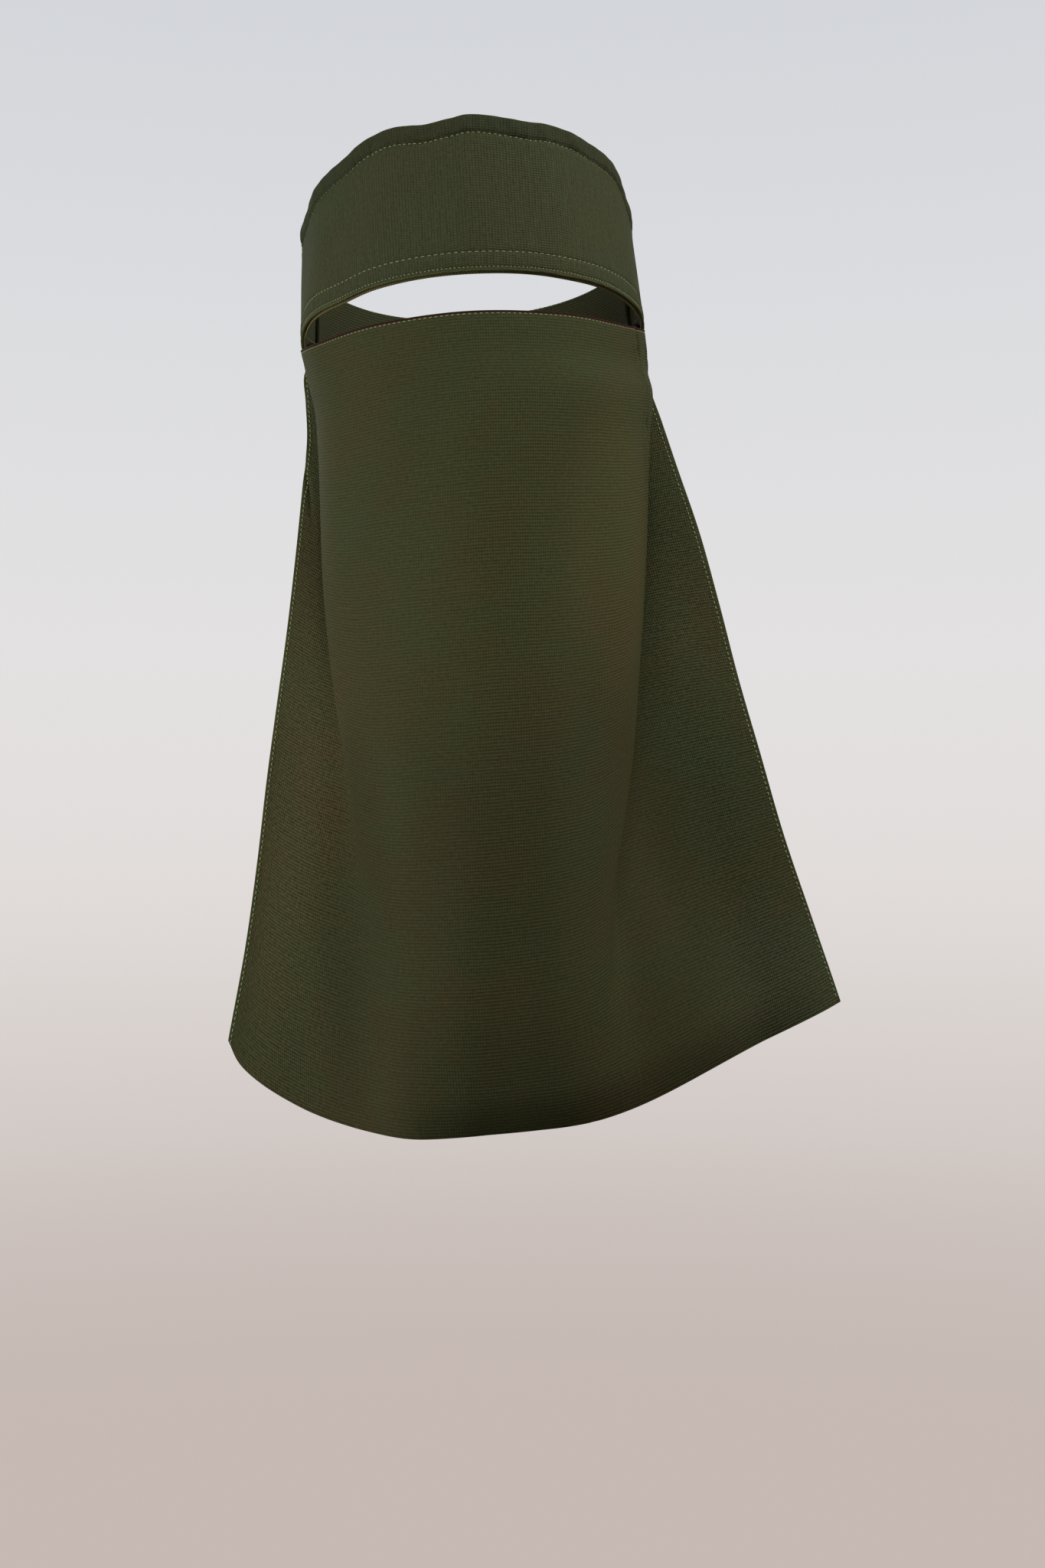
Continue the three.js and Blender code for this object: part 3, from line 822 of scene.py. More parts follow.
def soften_left_fold(grid, below, beside):
    """Averages each row across the fold, more and more towards the lower hem."""
    smooth = grid.copy()
    column = fold_column(grid.shape[1], -1)
    for i, (line, run) in enumerate(zip(grid, beside)):
        share = np.clip((below[i, 0] - SOFT_FROM) / (SOFT_FULL - SOFT_FROM), 0, 1)
        if share == 0:
            continue
        even = np.arange(0, run[-1], 0.001)
        weight = bump(run[:, None], even, SOFT_WIDTH * (SOFT_START + (1 - SOFT_START) * share))
        averaged = weight @ read_along(line, run, even) / weight.sum(axis=1, keepdims=True)
        near = np.clip(SOFT_HOLD - np.abs(run - run[column]) / SOFT_REACH, 0, 1)[:, None]
        smooth[i] = line + (averaged - line) * (eased(near) * share)
    return smooth


veil_grid = soften_left_fold(veil_grid, veil_below, veil_beside)
print("the left fold softens from", SOFT_FROM, "m below the top")

# %% [markdown]
# Small shapes are added along the surface's own normal, because no hanging cloth is as smooth as a curve
# through a table: slow sagging waves, gathers at the temples where the veil is sewn in, a crease pressed
# into the cloth beside the right fold, and a lower hem that rolls inward. The hems are two layers thick,
# and the stitch lines pinch them.

# %% Folds and waves of the veil
VEIL_OUT = 0.00045
HEM_IN = 0.0010
SIDE_HEM = 0.0042
TOP_HEM = 0.0026
PINCH = 0.00016
SIDE_STITCH = 0.0030
TOP_STITCH = 0.0016
HEM_ROLL = 0.006
ROLL_LENGTH = 0.02
ROLL_SPARE = 0.05  # from the right side hem, where the roll fades out
ROLL_FROM = -0.07  # across, where the roll begins
ROLL_FADE = 0.06
SIDE_PINCH_WIDTH = 0.0004
TOP_PINCH_WIDTH = 0.0003
SAG_WAVES = ((0.0006, 62, 1.1, 4), (0.0004, 105, 0.4, -9))  # height, pace across, start, pace down
RIPPLE = (0.00025, 190, 0, 14)
GATHER = 0.0003
GATHER_WAVES = (  # side, pace, start, middle, width
    (-1, 1050, 0.5, 0.004, 0.012),
    (1, 980, 0, 0.002, 0.01),
)
GATHER_PLACE = (0.014, 0.02)  # down and length
TEMPLE_BUMPS = (  # side, height, past the fold, width, down, length
    (1, 0.0014, 0.002, 0.005, 0.013, 0.010),
    (-1, -0.0014, -0.004, 0.008, 0.030, 0.012),
)
CREASE_PATH = (  # down, past the right fold
    (0, -0.034),
    (0.020, -0.033),
    (0.045, -0.031),
    (0.055, -0.027),
    (0.080, -0.015),
    (0.100, -0.008),
)
CREASE_LIPS = ((0.0012, -0.0016, 0.0018), (-0.0046, 0.0028, 0.0017))  # height, beside the path, width
CREASE_START = 0.012
CREASE_END = 0.105
CREASE_FADE = 0.04
SLANT_HEIGHT = 0.0012
SLANT_WIDTH = 0.0016
SLANT_CROSSES = (0.004, 0.078)  # from the left hem, and down
SLANT_SLOPE = 0.3
SLANT_PLACE = (0.080, 0.012)  # down and length
FREE_FROM = 0.02  # down, where the cloth begins to sag
FREE_FADE = 0.1
RIPPLE_PLACE = (0.3, 0.12)
FOLD_OVER = 0.0001  # how sharply a hem's second layer ends


def past_fold(across, side):
    """Distance across from the fold at one side, positive towards the side hem."""
    at_fold = across[:, fold_column(across.shape[1], side)]
    return side * (across - at_fold[:, None])


def temple_shapes(across, down):
    """At the temples: a crease beside the right fold, a lump, a dent, gathers at the seam, and a small
    slanting fold in the narrow strip beside the left hem."""
    past = {side: past_fold(across, side) for side in (-1, 1)}
    reach = np.clip(down / CREASE_START, 0, 1) * np.clip((CREASE_END - down) / CREASE_FADE, 0, 1)
    inward = past[1] - np.interp(down, *np.array(CREASE_PATH).T)
    shapes = sum(height * bump(inward, place, width) for height, place, width in CREASE_LIPS) * reach
    for side, height, place, width, low, length in TEMPLE_BUMPS:
        shapes = shapes + height * bump(past[side], place, width) * bump(down, low, length)
    for side, pace, start, middle, width in GATHER_WAVES:
        gathers = np.sin(past[side] * pace + start) * bump(past[side], middle, width)
        shapes = shapes + GATHER * gathers * bump(down, *GATHER_PLACE)
    across_strip = veil_beside - SLANT_CROSSES[0] - SLANT_SLOPE * (down - SLANT_CROSSES[1])
    return shapes - SLANT_HEIGHT * bump(across_strip, 0, SLANT_WIDTH) * bump(down, *SLANT_PLACE)


def veil_waves(uv):
    """How far each point of the veil lies off the plain curve."""
    across, down = uv[..., 0], uv[..., 1]
    free = np.clip((down - FREE_FROM) / FREE_FADE, 0, 1)
    sag = sum(wave_over(across, down, wave) for wave in SAG_WAVES)
    ripple = wave_over(across, down, RIPPLE) * bump(down, *RIPPLE_PLACE)
    turned = np.clip(1 - (COLUMN_LENGTH - veil_below) / ROLL_LENGTH, 0, 1) ** 2
    corner = np.clip(veil_beside[:, -1:] - veil_beside, 0, ROLL_SPARE) / ROLL_SPARE
    rolled = HEM_ROLL * turned * np.clip((across - ROLL_FROM) / ROLL_FADE, 0, 1) * corner
    return free * (sag + ripple) + temple_shapes(across, down) - rolled


def within(distance, width):
    """1 inside a hem's width, 0 beyond it."""
    return 1 / (1 + np.exp((distance - width) / FOLD_OVER))


def veil_faces():
    """Outer and inner grid of the veil. Its ribs run level with the hems, as the cloth was cut."""
    uv = cloth_uv(veil_grid)
    uv[..., 1] = uv[:, uv.shape[1] // 2, 1][:, None]
    middle = veil_grid + grid_normals(veil_grid) * veil_waves(uv)[..., None]
    normal = grid_normals(middle)
    width = veil_beside[:, -1:]
    side = np.minimum(veil_beside, width - veil_beside)
    end = np.minimum(veil_below, COLUMN_LENGTH - veil_below)
    rounding = rim_round(side) * rim_round(end)
    folded = np.maximum(within(side, SIDE_HEM), within(end, TOP_HEM))
    side_pinch = bump(side, SIDE_STITCH, SIDE_PINCH_WIDTH)
    pinch = PINCH * np.maximum(side_pinch, bump(veil_below, TOP_STITCH, TOP_PINCH_WIDTH))
    inside = -VEIL_OUT - (HEM_IN - VEIL_OUT) * folded + pinch
    faces = rounded(VEIL_OUT - pinch, inside, rounding)
    outer, inner = (middle + normal * offset[..., None] for offset in faces)
    return outer, inner, uv, np.stack([side, end], axis=-1)


veil_outer, veil_inner, veil_uv, veil_edges = veil_faces()
veil_cloth = wall_piece("veil_cloth", veil_outer, veil_inner, veil_uv, veil_edges)
print("veil triangles:", 2 * len(veil_cloth.data.polygons))

# %% [markdown]
# The veil is stitched along its top hem and both side hems. The side rows are read off the same grids
# laid on their side. Their thread stands higher and looks brighter, because it is sewn with less pull.

# %% Veil stitches
TOP_PITCH = 0.00245
SIDE_PITCH = 0.0026
TOP_RISES = ((0, -0.4), (0.3, -0.2), (0.42, 0.5), (0.58, 0.5), (0.7, -0.1), (1, -0.4))
SIDE_RISES = ((0, 1.2), (1, 1.2))
SIDE_LOOK = {"rises": SIDE_RISES, "share": 0.66, "thick": 0.00031}
TOP_ENDS = slice(12, -12)
SIDE_ENDS = slice(8, -4)

veil_sides = (veil_outer, veil_inner)
veil_on_side = [np.swapaxes(grid, 0, 1) for grid in veil_sides]
veil_rows = both_faces(veil_sides, veil_below, TOP_STITCH, TOP_PITCH, TOP_ENDS, rises=TOP_RISES)
for beside in (veil_beside, veil_beside[:, -1:] - veil_beside):
    veil_rows += both_faces(veil_on_side, beside.T, SIDE_STITCH, SIDE_PITCH, SIDE_ENDS, -1, **SIDE_LOOK)
veil_stitches = stitches("veil_stitches", veil_rows)

# %% [markdown]
# Materials are trees of nodes, and each node is made the same way: by its kind, its settings, and its
# inputs, which are either plain values or other nodes' sockets. A few short functions on top of that one
# keep the materials readable.

# %% Node helpers


def set_inputs(tree, node, inputs):
    """Sets a node's inputs by name or number: to plain values, or joined to other nodes' sockets."""
    for name, value in inputs.items():
        if hasattr(value, "is_output"):
            tree.links.new(value, node.inputs[name])
        else:
            node.inputs[name].default_value = value


def add_node(tree, kind, inputs, **settings):
    """A new shader node with its settings and inputs."""
    node = tree.nodes.new(f"ShaderNode{kind}")
    for name, value in settings.items():
        setattr(node, name, value)
    set_inputs(tree, node, inputs)
    return node


def math_node(tree, operation, *values):
    """A Math node's result; each value is a number or a socket."""
    return add_node(tree, "Math", dict(enumerate(values)), operation=operation).outputs[0]


def noise_node(tree, vector, scale, detail=2.0, roughness=0.5):
    """A noise texture's factor at a scale in cells for each metre."""
    inputs = {"Vector": vector, "Scale": scale, "Detail": detail, "Roughness": roughness}
    return add_node(tree, "TexNoise", inputs).outputs["Fac"]


def mix_colour(tree, factor, first, second, blend="MIX"):
    """A colour mix. A colour Mix node keeps its two colours in inputs 6 and 7."""
    inputs = {0: factor, 6: first, 7: second}
    return add_node(tree, "Mix", inputs, data_type="RGBA", blend_type=blend).outputs[2]


def tinted(tree, where, colour, tint):
    """The colour times a tint, as far as a mask says."""
    return mix_colour(tree, where, colour, mix_colour(tree, 1.0, colour, tint, "MULTIPLY"))


def step_mask(tree, value, low, high):
    """1 below low, 0 above high, smooth between."""
    inputs = {"Value": value, "From Min": low, "From Max": high, "To Min": 1, "To Max": 0}
    return add_node(tree, "MapRange", inputs, interpolation_type="SMOOTHSTEP").outputs[0]


def apart(tree, vector):
    """A vector's parts, as sockets X, Y and Z."""
    return add_node(tree, "SeparateXYZ", {0: vector}).outputs


def uv_place(tree, title, turned=False):
    """A UV map's metres, turned a quarter where the cloth was cut the other way."""
    place = add_node(tree, "UVMap", {}, uv_map=title).outputs[0]
    if not turned:
        return place
    return add_node(tree, "Mapping", {0: place, "Rotation": (0, 0, math.radians(90))}).outputs[0]


def raised(tree, shader, height, depth):
    """Joins a bump to the shader's normal, and returns its node."""
    node = add_node(tree, "Bump", {"Height": height, "Distance": depth, "Strength": 1.0})
    tree.links.new(node.outputs[0], shader.inputs["Normal"])
    return node


def new_material(name, looks):
    """A material with a Principled BSDF whose inputs are set to the looks."""
    material = bpy.data.materials.new(name)
    material.use_nodes = True
    tree = material.node_tree
    tree.nodes.clear()
    shader = add_node(tree, "BsdfPrincipled", looks)
    add_node(tree, "OutputMaterial", {0: shader.outputs[0]})
    return material, tree, shader


def wear(piece, material):
    """Puts a material on a piece."""
    piece.data.materials.clear()
    piece.data.materials.append(material)


helpers = (add_node, math_node, noise_node, mix_colour, tinted, step_mask, uv_place, raised)
print("node helpers:", [helper.__name__ for helper in helpers])

# %% [markdown]
# The crepe's weave is one node group for every cloth piece. It reads the UV map's metres and puts out a
# height for the bump and a shade for the colour: painted shade in the gaps between the ribs, with the
# yarn's own mottled tone. Ribs run across the veil 1.4 mm apart, and the yarns that cross them 1.15 mm
# apart, so the two sine waves together draw a fine waffle. Slow noise lets the ribs win in one place and
# the yarns in the next. Noise drawn out along the ribs stands for slubs, where the yarn was spun thicker,
# and fine noise for its fibres and for the pebbled grain of crepe.

# %% Weave group
RIB_PITCH = 0.0014
YARN_PITCH = 0.00115
WANDER = 0.0009
WEAVE_NOISES = {  # cells in a metre, detail, roughness
    "wander": (60, 2.0, 0.5),
    "worn": (90, 3.0, 0.65),
    "fibre": (1300, 3.0, 0.75),
    "slubs": (620, 2.0, 0.6),
    "mottle": (620, 2.0, 0.6),
}
RIBS_WORN = (1.4, 0.4)  # times the worn noise, and added to it
YARNS_WORN = (-1.3, 1.55)
SLUB_STRETCH = (0.1, 1, 1)
SLUB_SIZE = 2.2
FIBRE_SIZE = 0.35
MOTTLE_SIZE = 1.5


def node_group(name, inputs, outputs):
    """An empty shader node group with its sockets: each a name and a kind."""
    group = bpy.data.node_groups.new(name, "ShaderNodeTree")
    for way, sockets in (("INPUT", inputs), ("OUTPUT", outputs)):
        for socket, kind in sockets:
            group.interface.new_socket(name=socket, in_out=way, socket_type=f"NodeSocket{kind}")
    return group, group.nodes.new("NodeGroupInput").outputs, group.nodes.new("NodeGroupOutput")


def wave(tree, place, pitch):
    """A sine wave from -1 to 1 along a coordinate."""
    turns = math_node(tree, "DIVIDE", place, pitch)
    return math_node(tree, "SINE", math_node(tree, "MULTIPLY", turns, 2 * math.pi))


def centred(tree, value, size):
    """A 0 to 1 value moved to lie around 0, times a size."""
    return math_node(tree, "MULTIPLY", math_node(tree, "SUBTRACT", value, 0.5), size)


def make_crepe_weave():
    """Height and shade of the weave from the cloth's metres."""
    group, given, result = node_group(
        "crepe weave",
        [("Cloth", "Vector"), ("Rib Share", "Float"), ("Slub", "Float")],
        [("Height", "Float"), ("Shade", "Float")],
    )
    cloth, share = given["Cloth"], given["Rib Share"]
    drawn_out = add_node(group, "VectorMath", {0: cloth, 1: SLUB_STRETCH}, operation="MULTIPLY").outputs[0]
    noise = {}
    for name, look in WEAVE_NOISES.items():
        noise[name] = noise_node(group, drawn_out if name == "slubs" else cloth, *look)
    wander = centred(group, noise["wander"], WANDER)
    waves = []
    for axis, pitch, worn in (("Y", RIB_PITCH, RIBS_WORN), ("X", YARN_PITCH, YARNS_WORN)):
        place = math_node(group, "ADD", apart(group, cloth)[axis], wander)
        strength = math_node(group, "MULTIPLY_ADD", noise["worn"], *worn)
        waves.append(math_node(group, "MULTIPLY", wave(group, place, pitch), strength))
    woven = math_node(group, "MULTIPLY", waves[0], share)
    woven = math_node(group, "MULTIPLY_ADD", waves[1], math_node(group, "SUBTRACT", 1.0, share), woven)
    height = math_node(group, "MULTIPLY_ADD", woven, 0.5, 0.5)
    slubs = centred(group, noise["slubs"], SLUB_SIZE)
    height = math_node(group, "MULTIPLY_ADD", slubs, given["Slub"], height)
    height = math_node(group, "MULTIPLY_ADD", centred(group, noise["fibre"], 1.0), FIBRE_SIZE, height)
    mottled = math_node(group, "MULTIPLY_ADD", centred(group, noise["mottle"], 1.0), MOTTLE_SIZE, height)
    set_inputs(group, result, {"Height": height, "Shade": mottled})
    return group


crepe_weave = make_crepe_weave()
print("weave group sockets:", [item.name for item in crepe_weave.interface.items_tree])

# %% [markdown]
# Olive crepe is dyed from a green and a brown yarn, and in the photograph it drifts between the two in
# broad soft patches. A second group mixes the two colours by slow noise, and multiplies them by the
# weave's shade: painted shade in the gaps between the ribs, over the yarn's own mottled tone.

# %% Dye group
PATCH_NOISE = (16, 5.0, 0.65)
PATCH_CONTRAST = (1.8, -0.4)  # times the noise, and added to it


def make_dye():
    """The cloth's colour from its metres, darkened by the weave's painted shade in the rib gaps."""
    group, given, result = node_group(
        "two yarn dye",
        [
            ("Cloth", "Vector"),
            ("Weave", "Float"),
            ("Green", "Color"),
            ("Brown", "Color"),
            ("Depth", "Float"),
        ],
        [("Color", "Color")],
    )
    slow = noise_node(group, given["Cloth"], *PATCH_NOISE)
    patches = math_node(group, "MULTIPLY_ADD", slow, *PATCH_CONTRAST)
    patches = math_node(group, "MINIMUM", math_node(group, "MAXIMUM", patches, 0.0), 1.0)
    dyed = mix_colour(group, patches, given["Green"], given["Brown"])
    lit = math_node(group, "SUBTRACT", given["Weave"], 0.5)
    lit = math_node(group, "MULTIPLY_ADD", lit, given["Depth"], 1.0)
    grey = add_node(group, "CombineColor", {0: lit, 1: lit, 2: lit}).outputs[0]
    set_inputs(group, result, {"Color": mix_colour(group, 1.0, dyed, grey, "MULTIPLY")})
    return group


two_yarn_dye = make_dye()
print("dye group sockets:", [item.name for item in two_yarn_dye.interface.items_tree])

# %% [markdown]
# Each finish is a material of its own with a plain Principled BSDF. What is the same all over the
# surface, such as sheen, is set on the shader's own sockets. The veil's ribs run across it, the band's
# stand upright, because the band is cut the other way of the cloth.

# %% Crepe materials
BUMP_DEPTH = 0.00028
# How strongly the weave's painted shade and mottled tone darken or lighten the colour.
WEAVE_TONE_AND_SHADE_DEPTH = 0.5
CREPE_LOOKS = {
    "Roughness": 0.85,
    "Specular IOR Level": 0.07,
    "Sheen Weight": 0.02,
    "Sheen Roughness": 0.4,
    "Sheen Tint": shade(185, 180, 120),
}
BAND_DYES = (shade(59, 68, 46), shade(68, 65, 43))  # green, brown
STRAP_DYES = (shade(60, 65, 44), shade(65, 63, 42))
# Painted light: the facing is coloured paler than the band for light that falls on it from below.
FACING_PAINTED_LIGHT_DYES = (shade(112, 110, 68), shade(106, 98, 62))
# Painted shade: the casing is darkened as a rounder tube that takes less light.
CASING_PAINTED_SHADE = shade(226, 226, 229)
CASING_FADE = 0.0006
# Painted light: the brow edge's underside, facing down, is coloured paler for light that falls on it from
# below.
BROW_UNDERSIDE = 0.0006
UNDERSIDE_PAINTED_LIGHT = shade(88, 88, 54)


def crepe(name, dyes, turned=False, rib_share=0.6, slub=0.18):
    """A matte crepe: its material, tree and shader, and its dye and bump nodes for later additions."""
    material, tree, shader = new_material(name, CREPE_LOOKS)
    place = uv_place(tree, "cloth", turned)
    worn_in = {"Cloth": place, "Rib Share": rib_share, "Slub": slub}
    weave = add_node(tree, "Group", worn_in, node_tree=crepe_weave).outputs
    green, brown = dyes
    dyed_in = {"Cloth": place, "Weave": weave["Shade"], "Green": green, "Brown": brown, "Depth": WEAVE_TONE_AND_SHADE_DEPTH}
    dye = add_node(tree, "Group", dyed_in, node_tree=two_yarn_dye)
    tree.links.new(dye.outputs["Color"], shader.inputs["Base Color"])
    return material, tree, shader, dye, raised(tree, shader, weave["Height"], BUMP_DEPTH)


def band_material():
    """Upright ribs, painted shade on the casing, and painted light on the brow edge's underside."""
    material, tree, shader, dye, _ = crepe("band crepe", BAND_DYES, turned=True, rib_share=0.5, slub=0.34)
    distances = apart(tree, uv_place(tree, "edges"))
    # Painted shade on the casing.
    casing = step_mask(tree, distances["X"], HEM_WIDTH - CASING_FADE, HEM_WIDTH + CASING_FADE)
    colour = tinted(tree, casing, dye.outputs["Color"], CASING_PAINTED_SHADE)
    # Painted light on the brow edge's underside.
    under = step_mask(tree, distances["Y"], BROW_UNDERSIDE * 0.7, BROW_UNDERSIDE * 1.4)
    tree.links.new(mix_colour(tree, under, colour, UNDERSIDE_PAINTED_LIGHT), shader.inputs["Base Color"])
    return material


strap_crepe = crepe("strap crepe", STRAP_DYES)[0]
facing_crepe_painted_light = crepe("facing crepe, painted light", FACING_PAINTED_LIGHT_DYES, turned=True)[0]
for piece, material in (
    (band_cloth, band_material()),
    (facing_cloth, facing_crepe_painted_light),
    (left_strap, strap_crepe),
    (right_strap, strap_crepe),
):
    wear(piece, material)
    print(piece.name, "wears", material.name)

# %% [markdown]
# The veil's cloth is the same crepe with additions of its own. A dark maroon line along its top hem is
# painted shade at that edge, and the folded edge of each side hem shows as a thin pale line.
# Towards the side hems the cloth hangs slack: its waffle's bump stands up, and the painted shade in its
# rib gaps is deeper. The dye is greener at the top, and a short table lists a few soft patches of painted
# light and painted shade.

# %% Veil material
VEIL_DYES = (shade(60, 67, 42), shade(69, 60, 37))  # green, brown
# Painted shade: a dark line along the veil's top edge, for the shadow at that edge.
EDGE_LINE = 0.001
TOP_EDGE_PAINTED_SHADE = shade(52, 24, 22)
PALE_EDGE = 0.00035
PALE_SHADE = shade(88, 92, 60)
SLACK_PANEL = (0.03, 0.09)  # from a side hem: the waffle opens up
# Deeper painted shade in the rib gaps of the side panels, where grazing light shows the ribs more.
SLACK_WEAVE_SHADE_DEPTH = (0.45, 0.5)  # times the slack, and added to it
SLACK_BUMP = (0.45, 0.55)
GREEN_TOP = (0.01, 0.16)
TOP_TINT = shade(246, 255, 252)
# Painted light and painted shade: soft patches made lighter or darker where light falls more or less.
PAINTED_LIGHT_PATCHES = (  # middle across and down, reach across and down, tint
    ((0.080, 0.105), (0.050, 0.090), (1.34, 1.22, 1.12, 1)),
    ((0.005, 0.120), (0.060, 0.100), (1.18, 1.20, 1.15, 1)),
    ((0.150, 0.265), (0.055, 0.110), (0.76, 0.80, 0.80, 1)),
    ((0.150, 0.335), (0.060, 0.055), (1.10, 1.20, 1.36, 1)),
    ((-0.070, 0.260), (0.035, 0.100), (0.82, 0.84, 0.82, 1)),
    ((-0.125, 0.220), (0.055, 0.130), (1.20, 1.16, 1.14, 1)),
)


def soft_patch(tree, place, middle, reach):
    """1 in the middle of an oval patch of the cloth, fading to 0 at its reach."""
    parts = []
    for axis, centre, size in zip("XY", middle, reach):
        off = math_node(tree, "DIVIDE", math_node(tree, "SUBTRACT", place[axis], centre), size)
        parts.append(math_node(tree, "MULTIPLY", off, off))
    return step_mask(tree, math_node(tree, "ADD", *parts), 0.0, 1.0)


def veil_material():
    """The crepe with its slack side panels, soft patches of painted light and shade, pale side edges and a
    painted dark line of shade along the top edge.
    """
    material, tree, shader, dye, bump_node = crepe("veil crepe", VEIL_DYES, rib_share=0.56)
    beside = apart(tree, uv_place(tree, "edges"))["X"]
    place = apart(tree, uv_place(tree, "cloth"))
    slack = step_mask(tree, beside, *SLACK_PANEL)
    # The side panels get deeper painted shade in their rib gaps.
    set_inputs(tree, dye, {"Depth": math_node(tree, "MULTIPLY_ADD", slack, *SLACK_WEAVE_SHADE_DEPTH)})
    set_inputs(tree, bump_node, {"Strength": math_node(tree, "MULTIPLY_ADD", slack, *SLACK_BUMP)})
    colour = tinted(tree, step_mask(tree, place["Y"], *GREEN_TOP), dye.outputs["Color"], TOP_TINT)
    # Patches of painted light and painted shade.
    for middle, reach, tint in PAINTED_LIGHT_PATCHES:
        colour = tinted(tree, soft_patch(tree, place, middle, reach), colour, tint)
    colour = mix_colour(tree, step_mask(tree, beside, PALE_EDGE, PALE_EDGE * 1.8), colour, PALE_SHADE)
    # A painted dark line of shade along the top edge.
    colour = mix_colour(tree, step_mask(tree, place["Y"], EDGE_LINE, EDGE_LINE * 1.3), colour, TOP_EDGE_PAINTED_SHADE)
    tree.links.new(colour, shader.inputs["Base Color"])
    return material


wear(veil_cloth, veil_material())
print("veil material:", veil_cloth.data.materials[0].name)

# %% [markdown]
# The thread is a lighter green than the cloth and a little glossier. Noise along it stands for its twist.
# The fastening tape is darker, with a brushed nap.

# %% Thread and closure materials
TWIST_NOISE = (2200, 2.0, 0.5)
TWIST_DEPTH = 0.00008
THREAD_LOOKS = {"Roughness": 0.55}
NAP_NOISE = (1800, 4.0, 0.7)
NAP_DEPTH = 0.0004
TAPE_LOOKS = {"Roughness": 0.95, "Sheen Weight": 0.3}


def noisy_material(name, looks, noise, dark, pale, depth, mapped=False):
    """One noise gives both the colour, between a dark and a pale shade, and the bump. Threads have no UV
    map, so theirs is read at each point's own place."""
    material, tree, shader = new_material(name, looks)
    place = uv_place(tree, "cloth") if mapped else add_node(tree, "TexCoord", {}).outputs["Object"]
    factor = noise_node(tree, place, *noise)
    tree.links.new(mix_colour(tree, factor, dark, pale), shader.inputs["Base Color"])
    raised(tree, shader, factor, depth)
    return material


green_thread = noisy_material(
    "green thread", THREAD_LOOKS, TWIST_NOISE, shade(108, 126, 80), shade(150, 166, 116), TWIST_DEPTH
)
fastening_tape = noisy_material(
    "brushed fastening tape", TAPE_LOOKS, NAP_NOISE, shade(38, 40, 26), shade(60, 63, 42), NAP_DEPTH, True
)
stitched = (band_stitches, veil_stitches, left_strap_stitches, right_strap_stitches)
for piece in stitched:
    wear(piece, green_thread)
wear(closure_tape, fastening_tape)
print("thread on", len(stitched), "stitch pieces")

# %% [markdown]
# The cloth pieces replace the plain walls of the frame, which are hidden, and they ride on its one body,
# as do their stitches.

for piece, node, slot in (
    (band_cloth, "forehead_band", "crepe_outer"),
    (facing_cloth, "brow_facing", "crepe_facing"),
    (left_strap, "back_strap_left", "crepe_outer"),
    (right_strap, "back_strap_right", "crepe_outer"),
    (closure_tape, "closure_strip", "closure_tape"),
    (veil_cloth, "face_veil", "crepe_veil"),
):
    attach(piece, "root")
    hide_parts(node)
for piece, slot in (
    (band_stitches, "crepe_outer"),
    (left_strap_stitches, "crepe_outer"),
    (right_strap_stitches, "crepe_outer"),
    (veil_stitches, "crepe_veil"),
):
    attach(piece, "root")

# %% [markdown]
# The stage is a pale seamless bowl: a floor that curves up into a wall all round, so that no view shows a
# corner. Its colour drifts from a warm grey floor to a cool grey wall, as in the photograph. It glows by
# itself, which keeps it even. The Light Path node lets it glow fully for the eye, and only a little as a
# lamp, so that the cloth is lit mostly by the softboxes.

# %% Stage
FLOOR_Z = -1.5
BOWL_RADIUS = 4.2
BOWL_CORNER = 1.4
BOWL_TOP = 3.2
BOWL_TURNS = 96
STRAIGHT_RINGS = 8
BEND_RINGS = 16


def bowl_profile():
    """Radius and height from the floor's middle to the wall's top."""
    inner = BOWL_RADIUS - BOWL_CORNER
    floor = [(radius, FLOOR_Z) for radius in np.linspace(0.01, inner, STRAIGHT_RINGS)]
    corner = [
        (inner + BOWL_CORNER * math.sin(turn), FLOOR_Z + BOWL_CORNER * (1 - math.cos(turn)))
        for turn in np.radians(np.linspace(0, 90, BEND_RINGS))[1:]
    ]
    upright = np.linspace(FLOOR_Z + BOWL_CORNER, BOWL_TOP, STRAIGHT_RINGS)[1:]
    return np.array(floor + corner + [(BOWL_RADIUS, height) for height in upright])


def make_bowl():
    """The profile turned round the vertical axis, its floor closed by one face in the middle."""
    profile = bowl_profile()
    turn = np.linspace(0, 2 * math.pi, BOWL_TURNS, endpoint=False)
    radius, height = profile[:, 0, None], profile[:, 1, None]
    points = np.stack([radius * np.cos(turn), radius * np.sin(turn), height + 0 * turn], axis=-1)
    index = np.arange(points.shape[0] * BOWL_TURNS).reshape(-1, BOWL_TURNS)
    across = np.roll(index, -1, axis=1)
    faces = np.stack([index[:-1], across[:-1], across[1:], index[1:]], axis=-1).reshape(-1, 4)
    bowl = mesh_object("studio_bowl", points.reshape(-1, 3).tolist(), [list(index[0])] + faces.tolist())
    return bowl


PAPER = (  # share of the bowl's height, and the colour there
    (0, (196, 182, 176)),
    (0.08, (208, 200, 196)),
    (0.22, (229, 224, 222)),
    (0.45, (226, 226, 228)),
    (0.75, (208, 211, 216)),
)
GLOW_AS_LAMP = 0.27


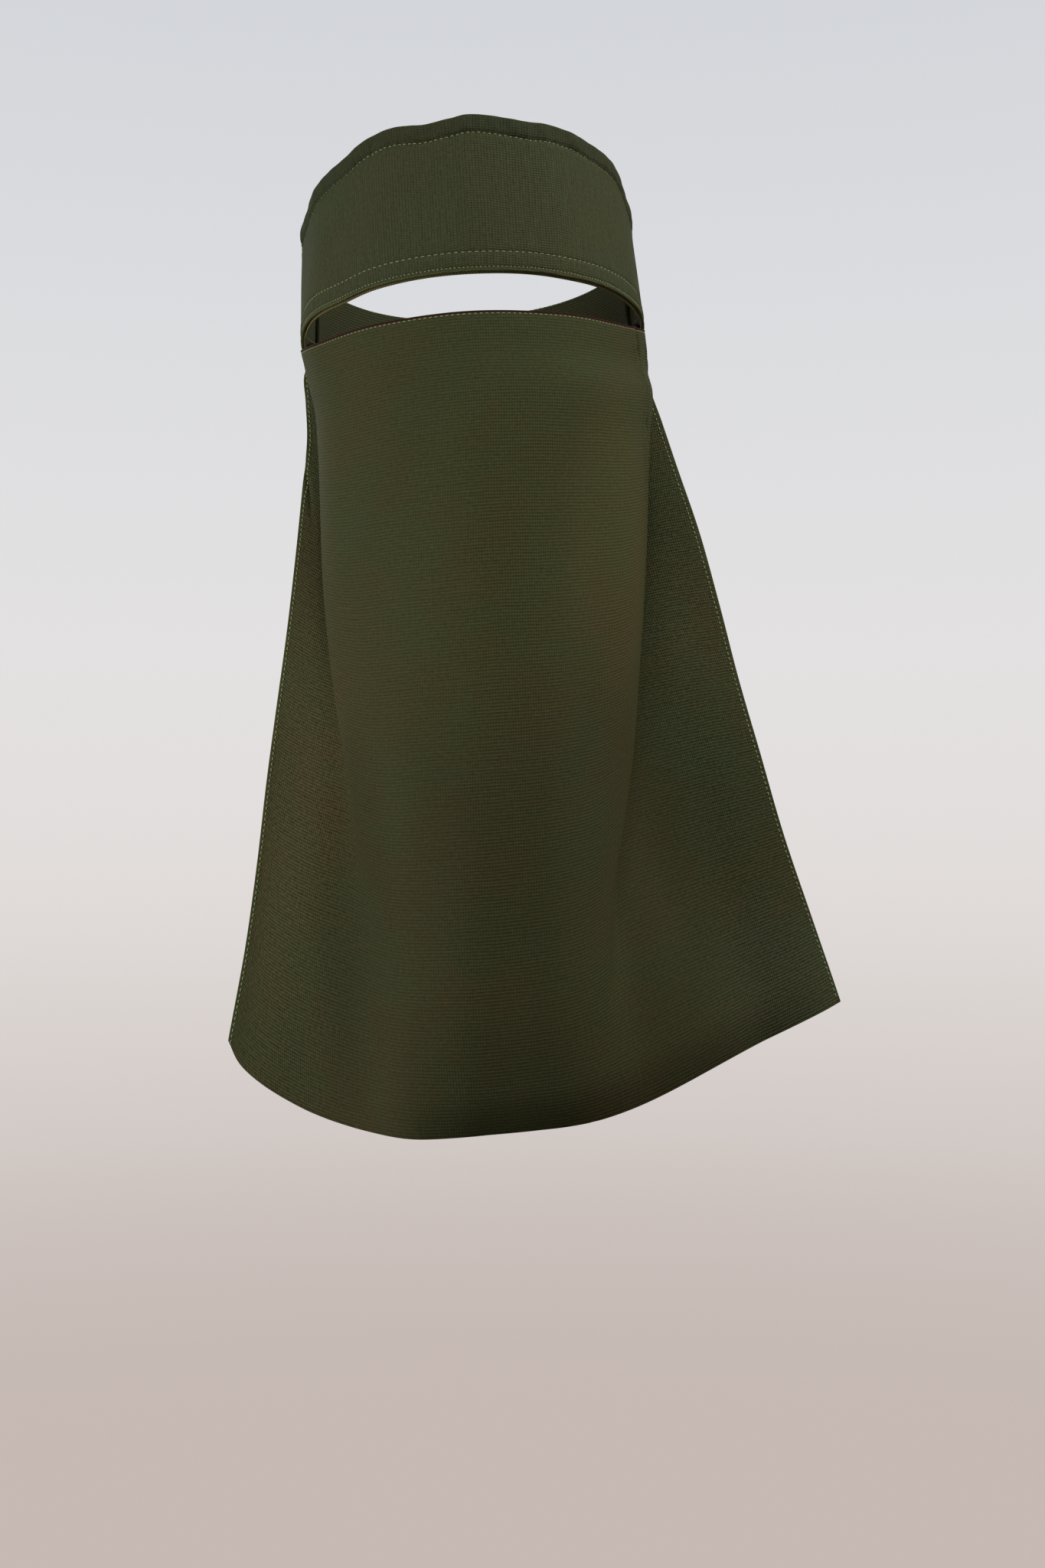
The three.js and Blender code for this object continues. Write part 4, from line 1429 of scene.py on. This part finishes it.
def bowl_material():
    """A glow that drifts from floor to wall, and no reflection of light."""
    dull = {"Base Color": (0, 0, 0, 1), "Specular IOR Level": 0, "Roughness": 1.0}
    material, tree, shader = new_material("studio paper", dull)
    height = apart(tree, add_node(tree, "NewGeometry", {}).outputs["Position"])["Z"]
    share = add_node(tree, "MapRange", {"Value": height, "From Min": FLOOR_Z, "From Max": BOWL_TOP})
    ramp = add_node(tree, "ValToRGB", {0: share.outputs[0]})
    ramp.color_ramp.interpolation = "B_SPLINE"
    elements = ramp.color_ramp.elements
    while len(elements) < len(PAPER):
        elements.new(0.5)
    for element, (place, colour) in zip(elements, PAPER):
        element.position = place
        element.color = shade(*colour)
    seen = add_node(tree, "LightPath", {}).outputs["Is Camera Ray"]
    glow = math_node(tree, "MULTIPLY_ADD", seen, 1 - GLOW_AS_LAMP, GLOW_AS_LAMP)
    set_inputs(tree, shader, {"Emission Color": ramp.outputs[0], "Emission Strength": glow})
    return material


bowl = make_bowl()
wear(bowl, bowl_material())
print("bowl radius:", BOWL_RADIUS, "m")

# %% [markdown]
# Soft lamps model the folds. In the photograph the band and the veil's top are lit from in front and
# above, the left side from the left at its own height, and the right side from high on the right, while
# the lower front falls into shade. A weak warm one behind the right temple edges the band there, and a
# large one lights the back. A lamp's light falls off with the square of its distance, so each stands
# close to what it lights. The plain colour transform keeps the olive as it is written.

# %% Light
WARM = (1, 0.94, 0.72)
WHITE = (1, 1, 1)
SOFTBOXES = {  # place, aim, width, height, watts, colour
    "front_softbox": ((0, -0.62, 0.38), (0, -0.1, -0.1), 0.6, 0.4, 1.9, WHITE),
    "left_softbox": ((-0.8, -0.25, -0.2), (-0.05, -0.05, -0.2), 0.5, 0.7, 4.7, WHITE),
    "right_softbox": ((0.66, -0.3, 0.58), (0.05, -0.05, 0.0), 0.5, 0.4, 4.6, WHITE),
    "rim_softbox": ((0.75, 0.2, 0.1), (0.08, -0.05, 0.0), 0.3, 0.4, 1.2, WARM),
    "back_softbox": ((-0.3, 1.7, 0.5), (0, 0, -0.1), 1.8, 1.4, 18, WHITE),
}
SKY_SHADE = shade(214, 216, 220)
SKY_STRENGTH = 0.33


def softbox(name, place, aim, width, height, watts, colour):
    """A rectangular area lamp that looks at a point and isn't seen itself."""
    data = bpy.data.lights.new(name, "AREA")
    data.shape = "RECTANGLE"
    data.size, data.size_y = width, height
    data.energy = watts
    data.color = colour
    lamp = bpy.data.objects.new(name, data)
    lamp.location = place
    toward = np.array(aim) - np.array(place)
    lamp.rotation_euler = (
        math.atan2(math.hypot(toward[0], toward[1]), -toward[2]),
        0,
        math.atan2(-toward[0], toward[1]),
    )
    lamp.visible_camera = False
    bpy.context.scene.collection.objects.link(lamp)


for name, look in SOFTBOXES.items():
    softbox(name, *look)
world = bpy.data.worlds.new("pale sky")
world.use_nodes = True
sky = {"Color": SKY_SHADE, "Strength": SKY_STRENGTH}
set_inputs(world.node_tree, world.node_tree.nodes["Background"], sky)
bpy.context.scene.world = world
bpy.context.scene.view_settings.view_transform = "Standard"
print("lamps:", len(SOFTBOXES))
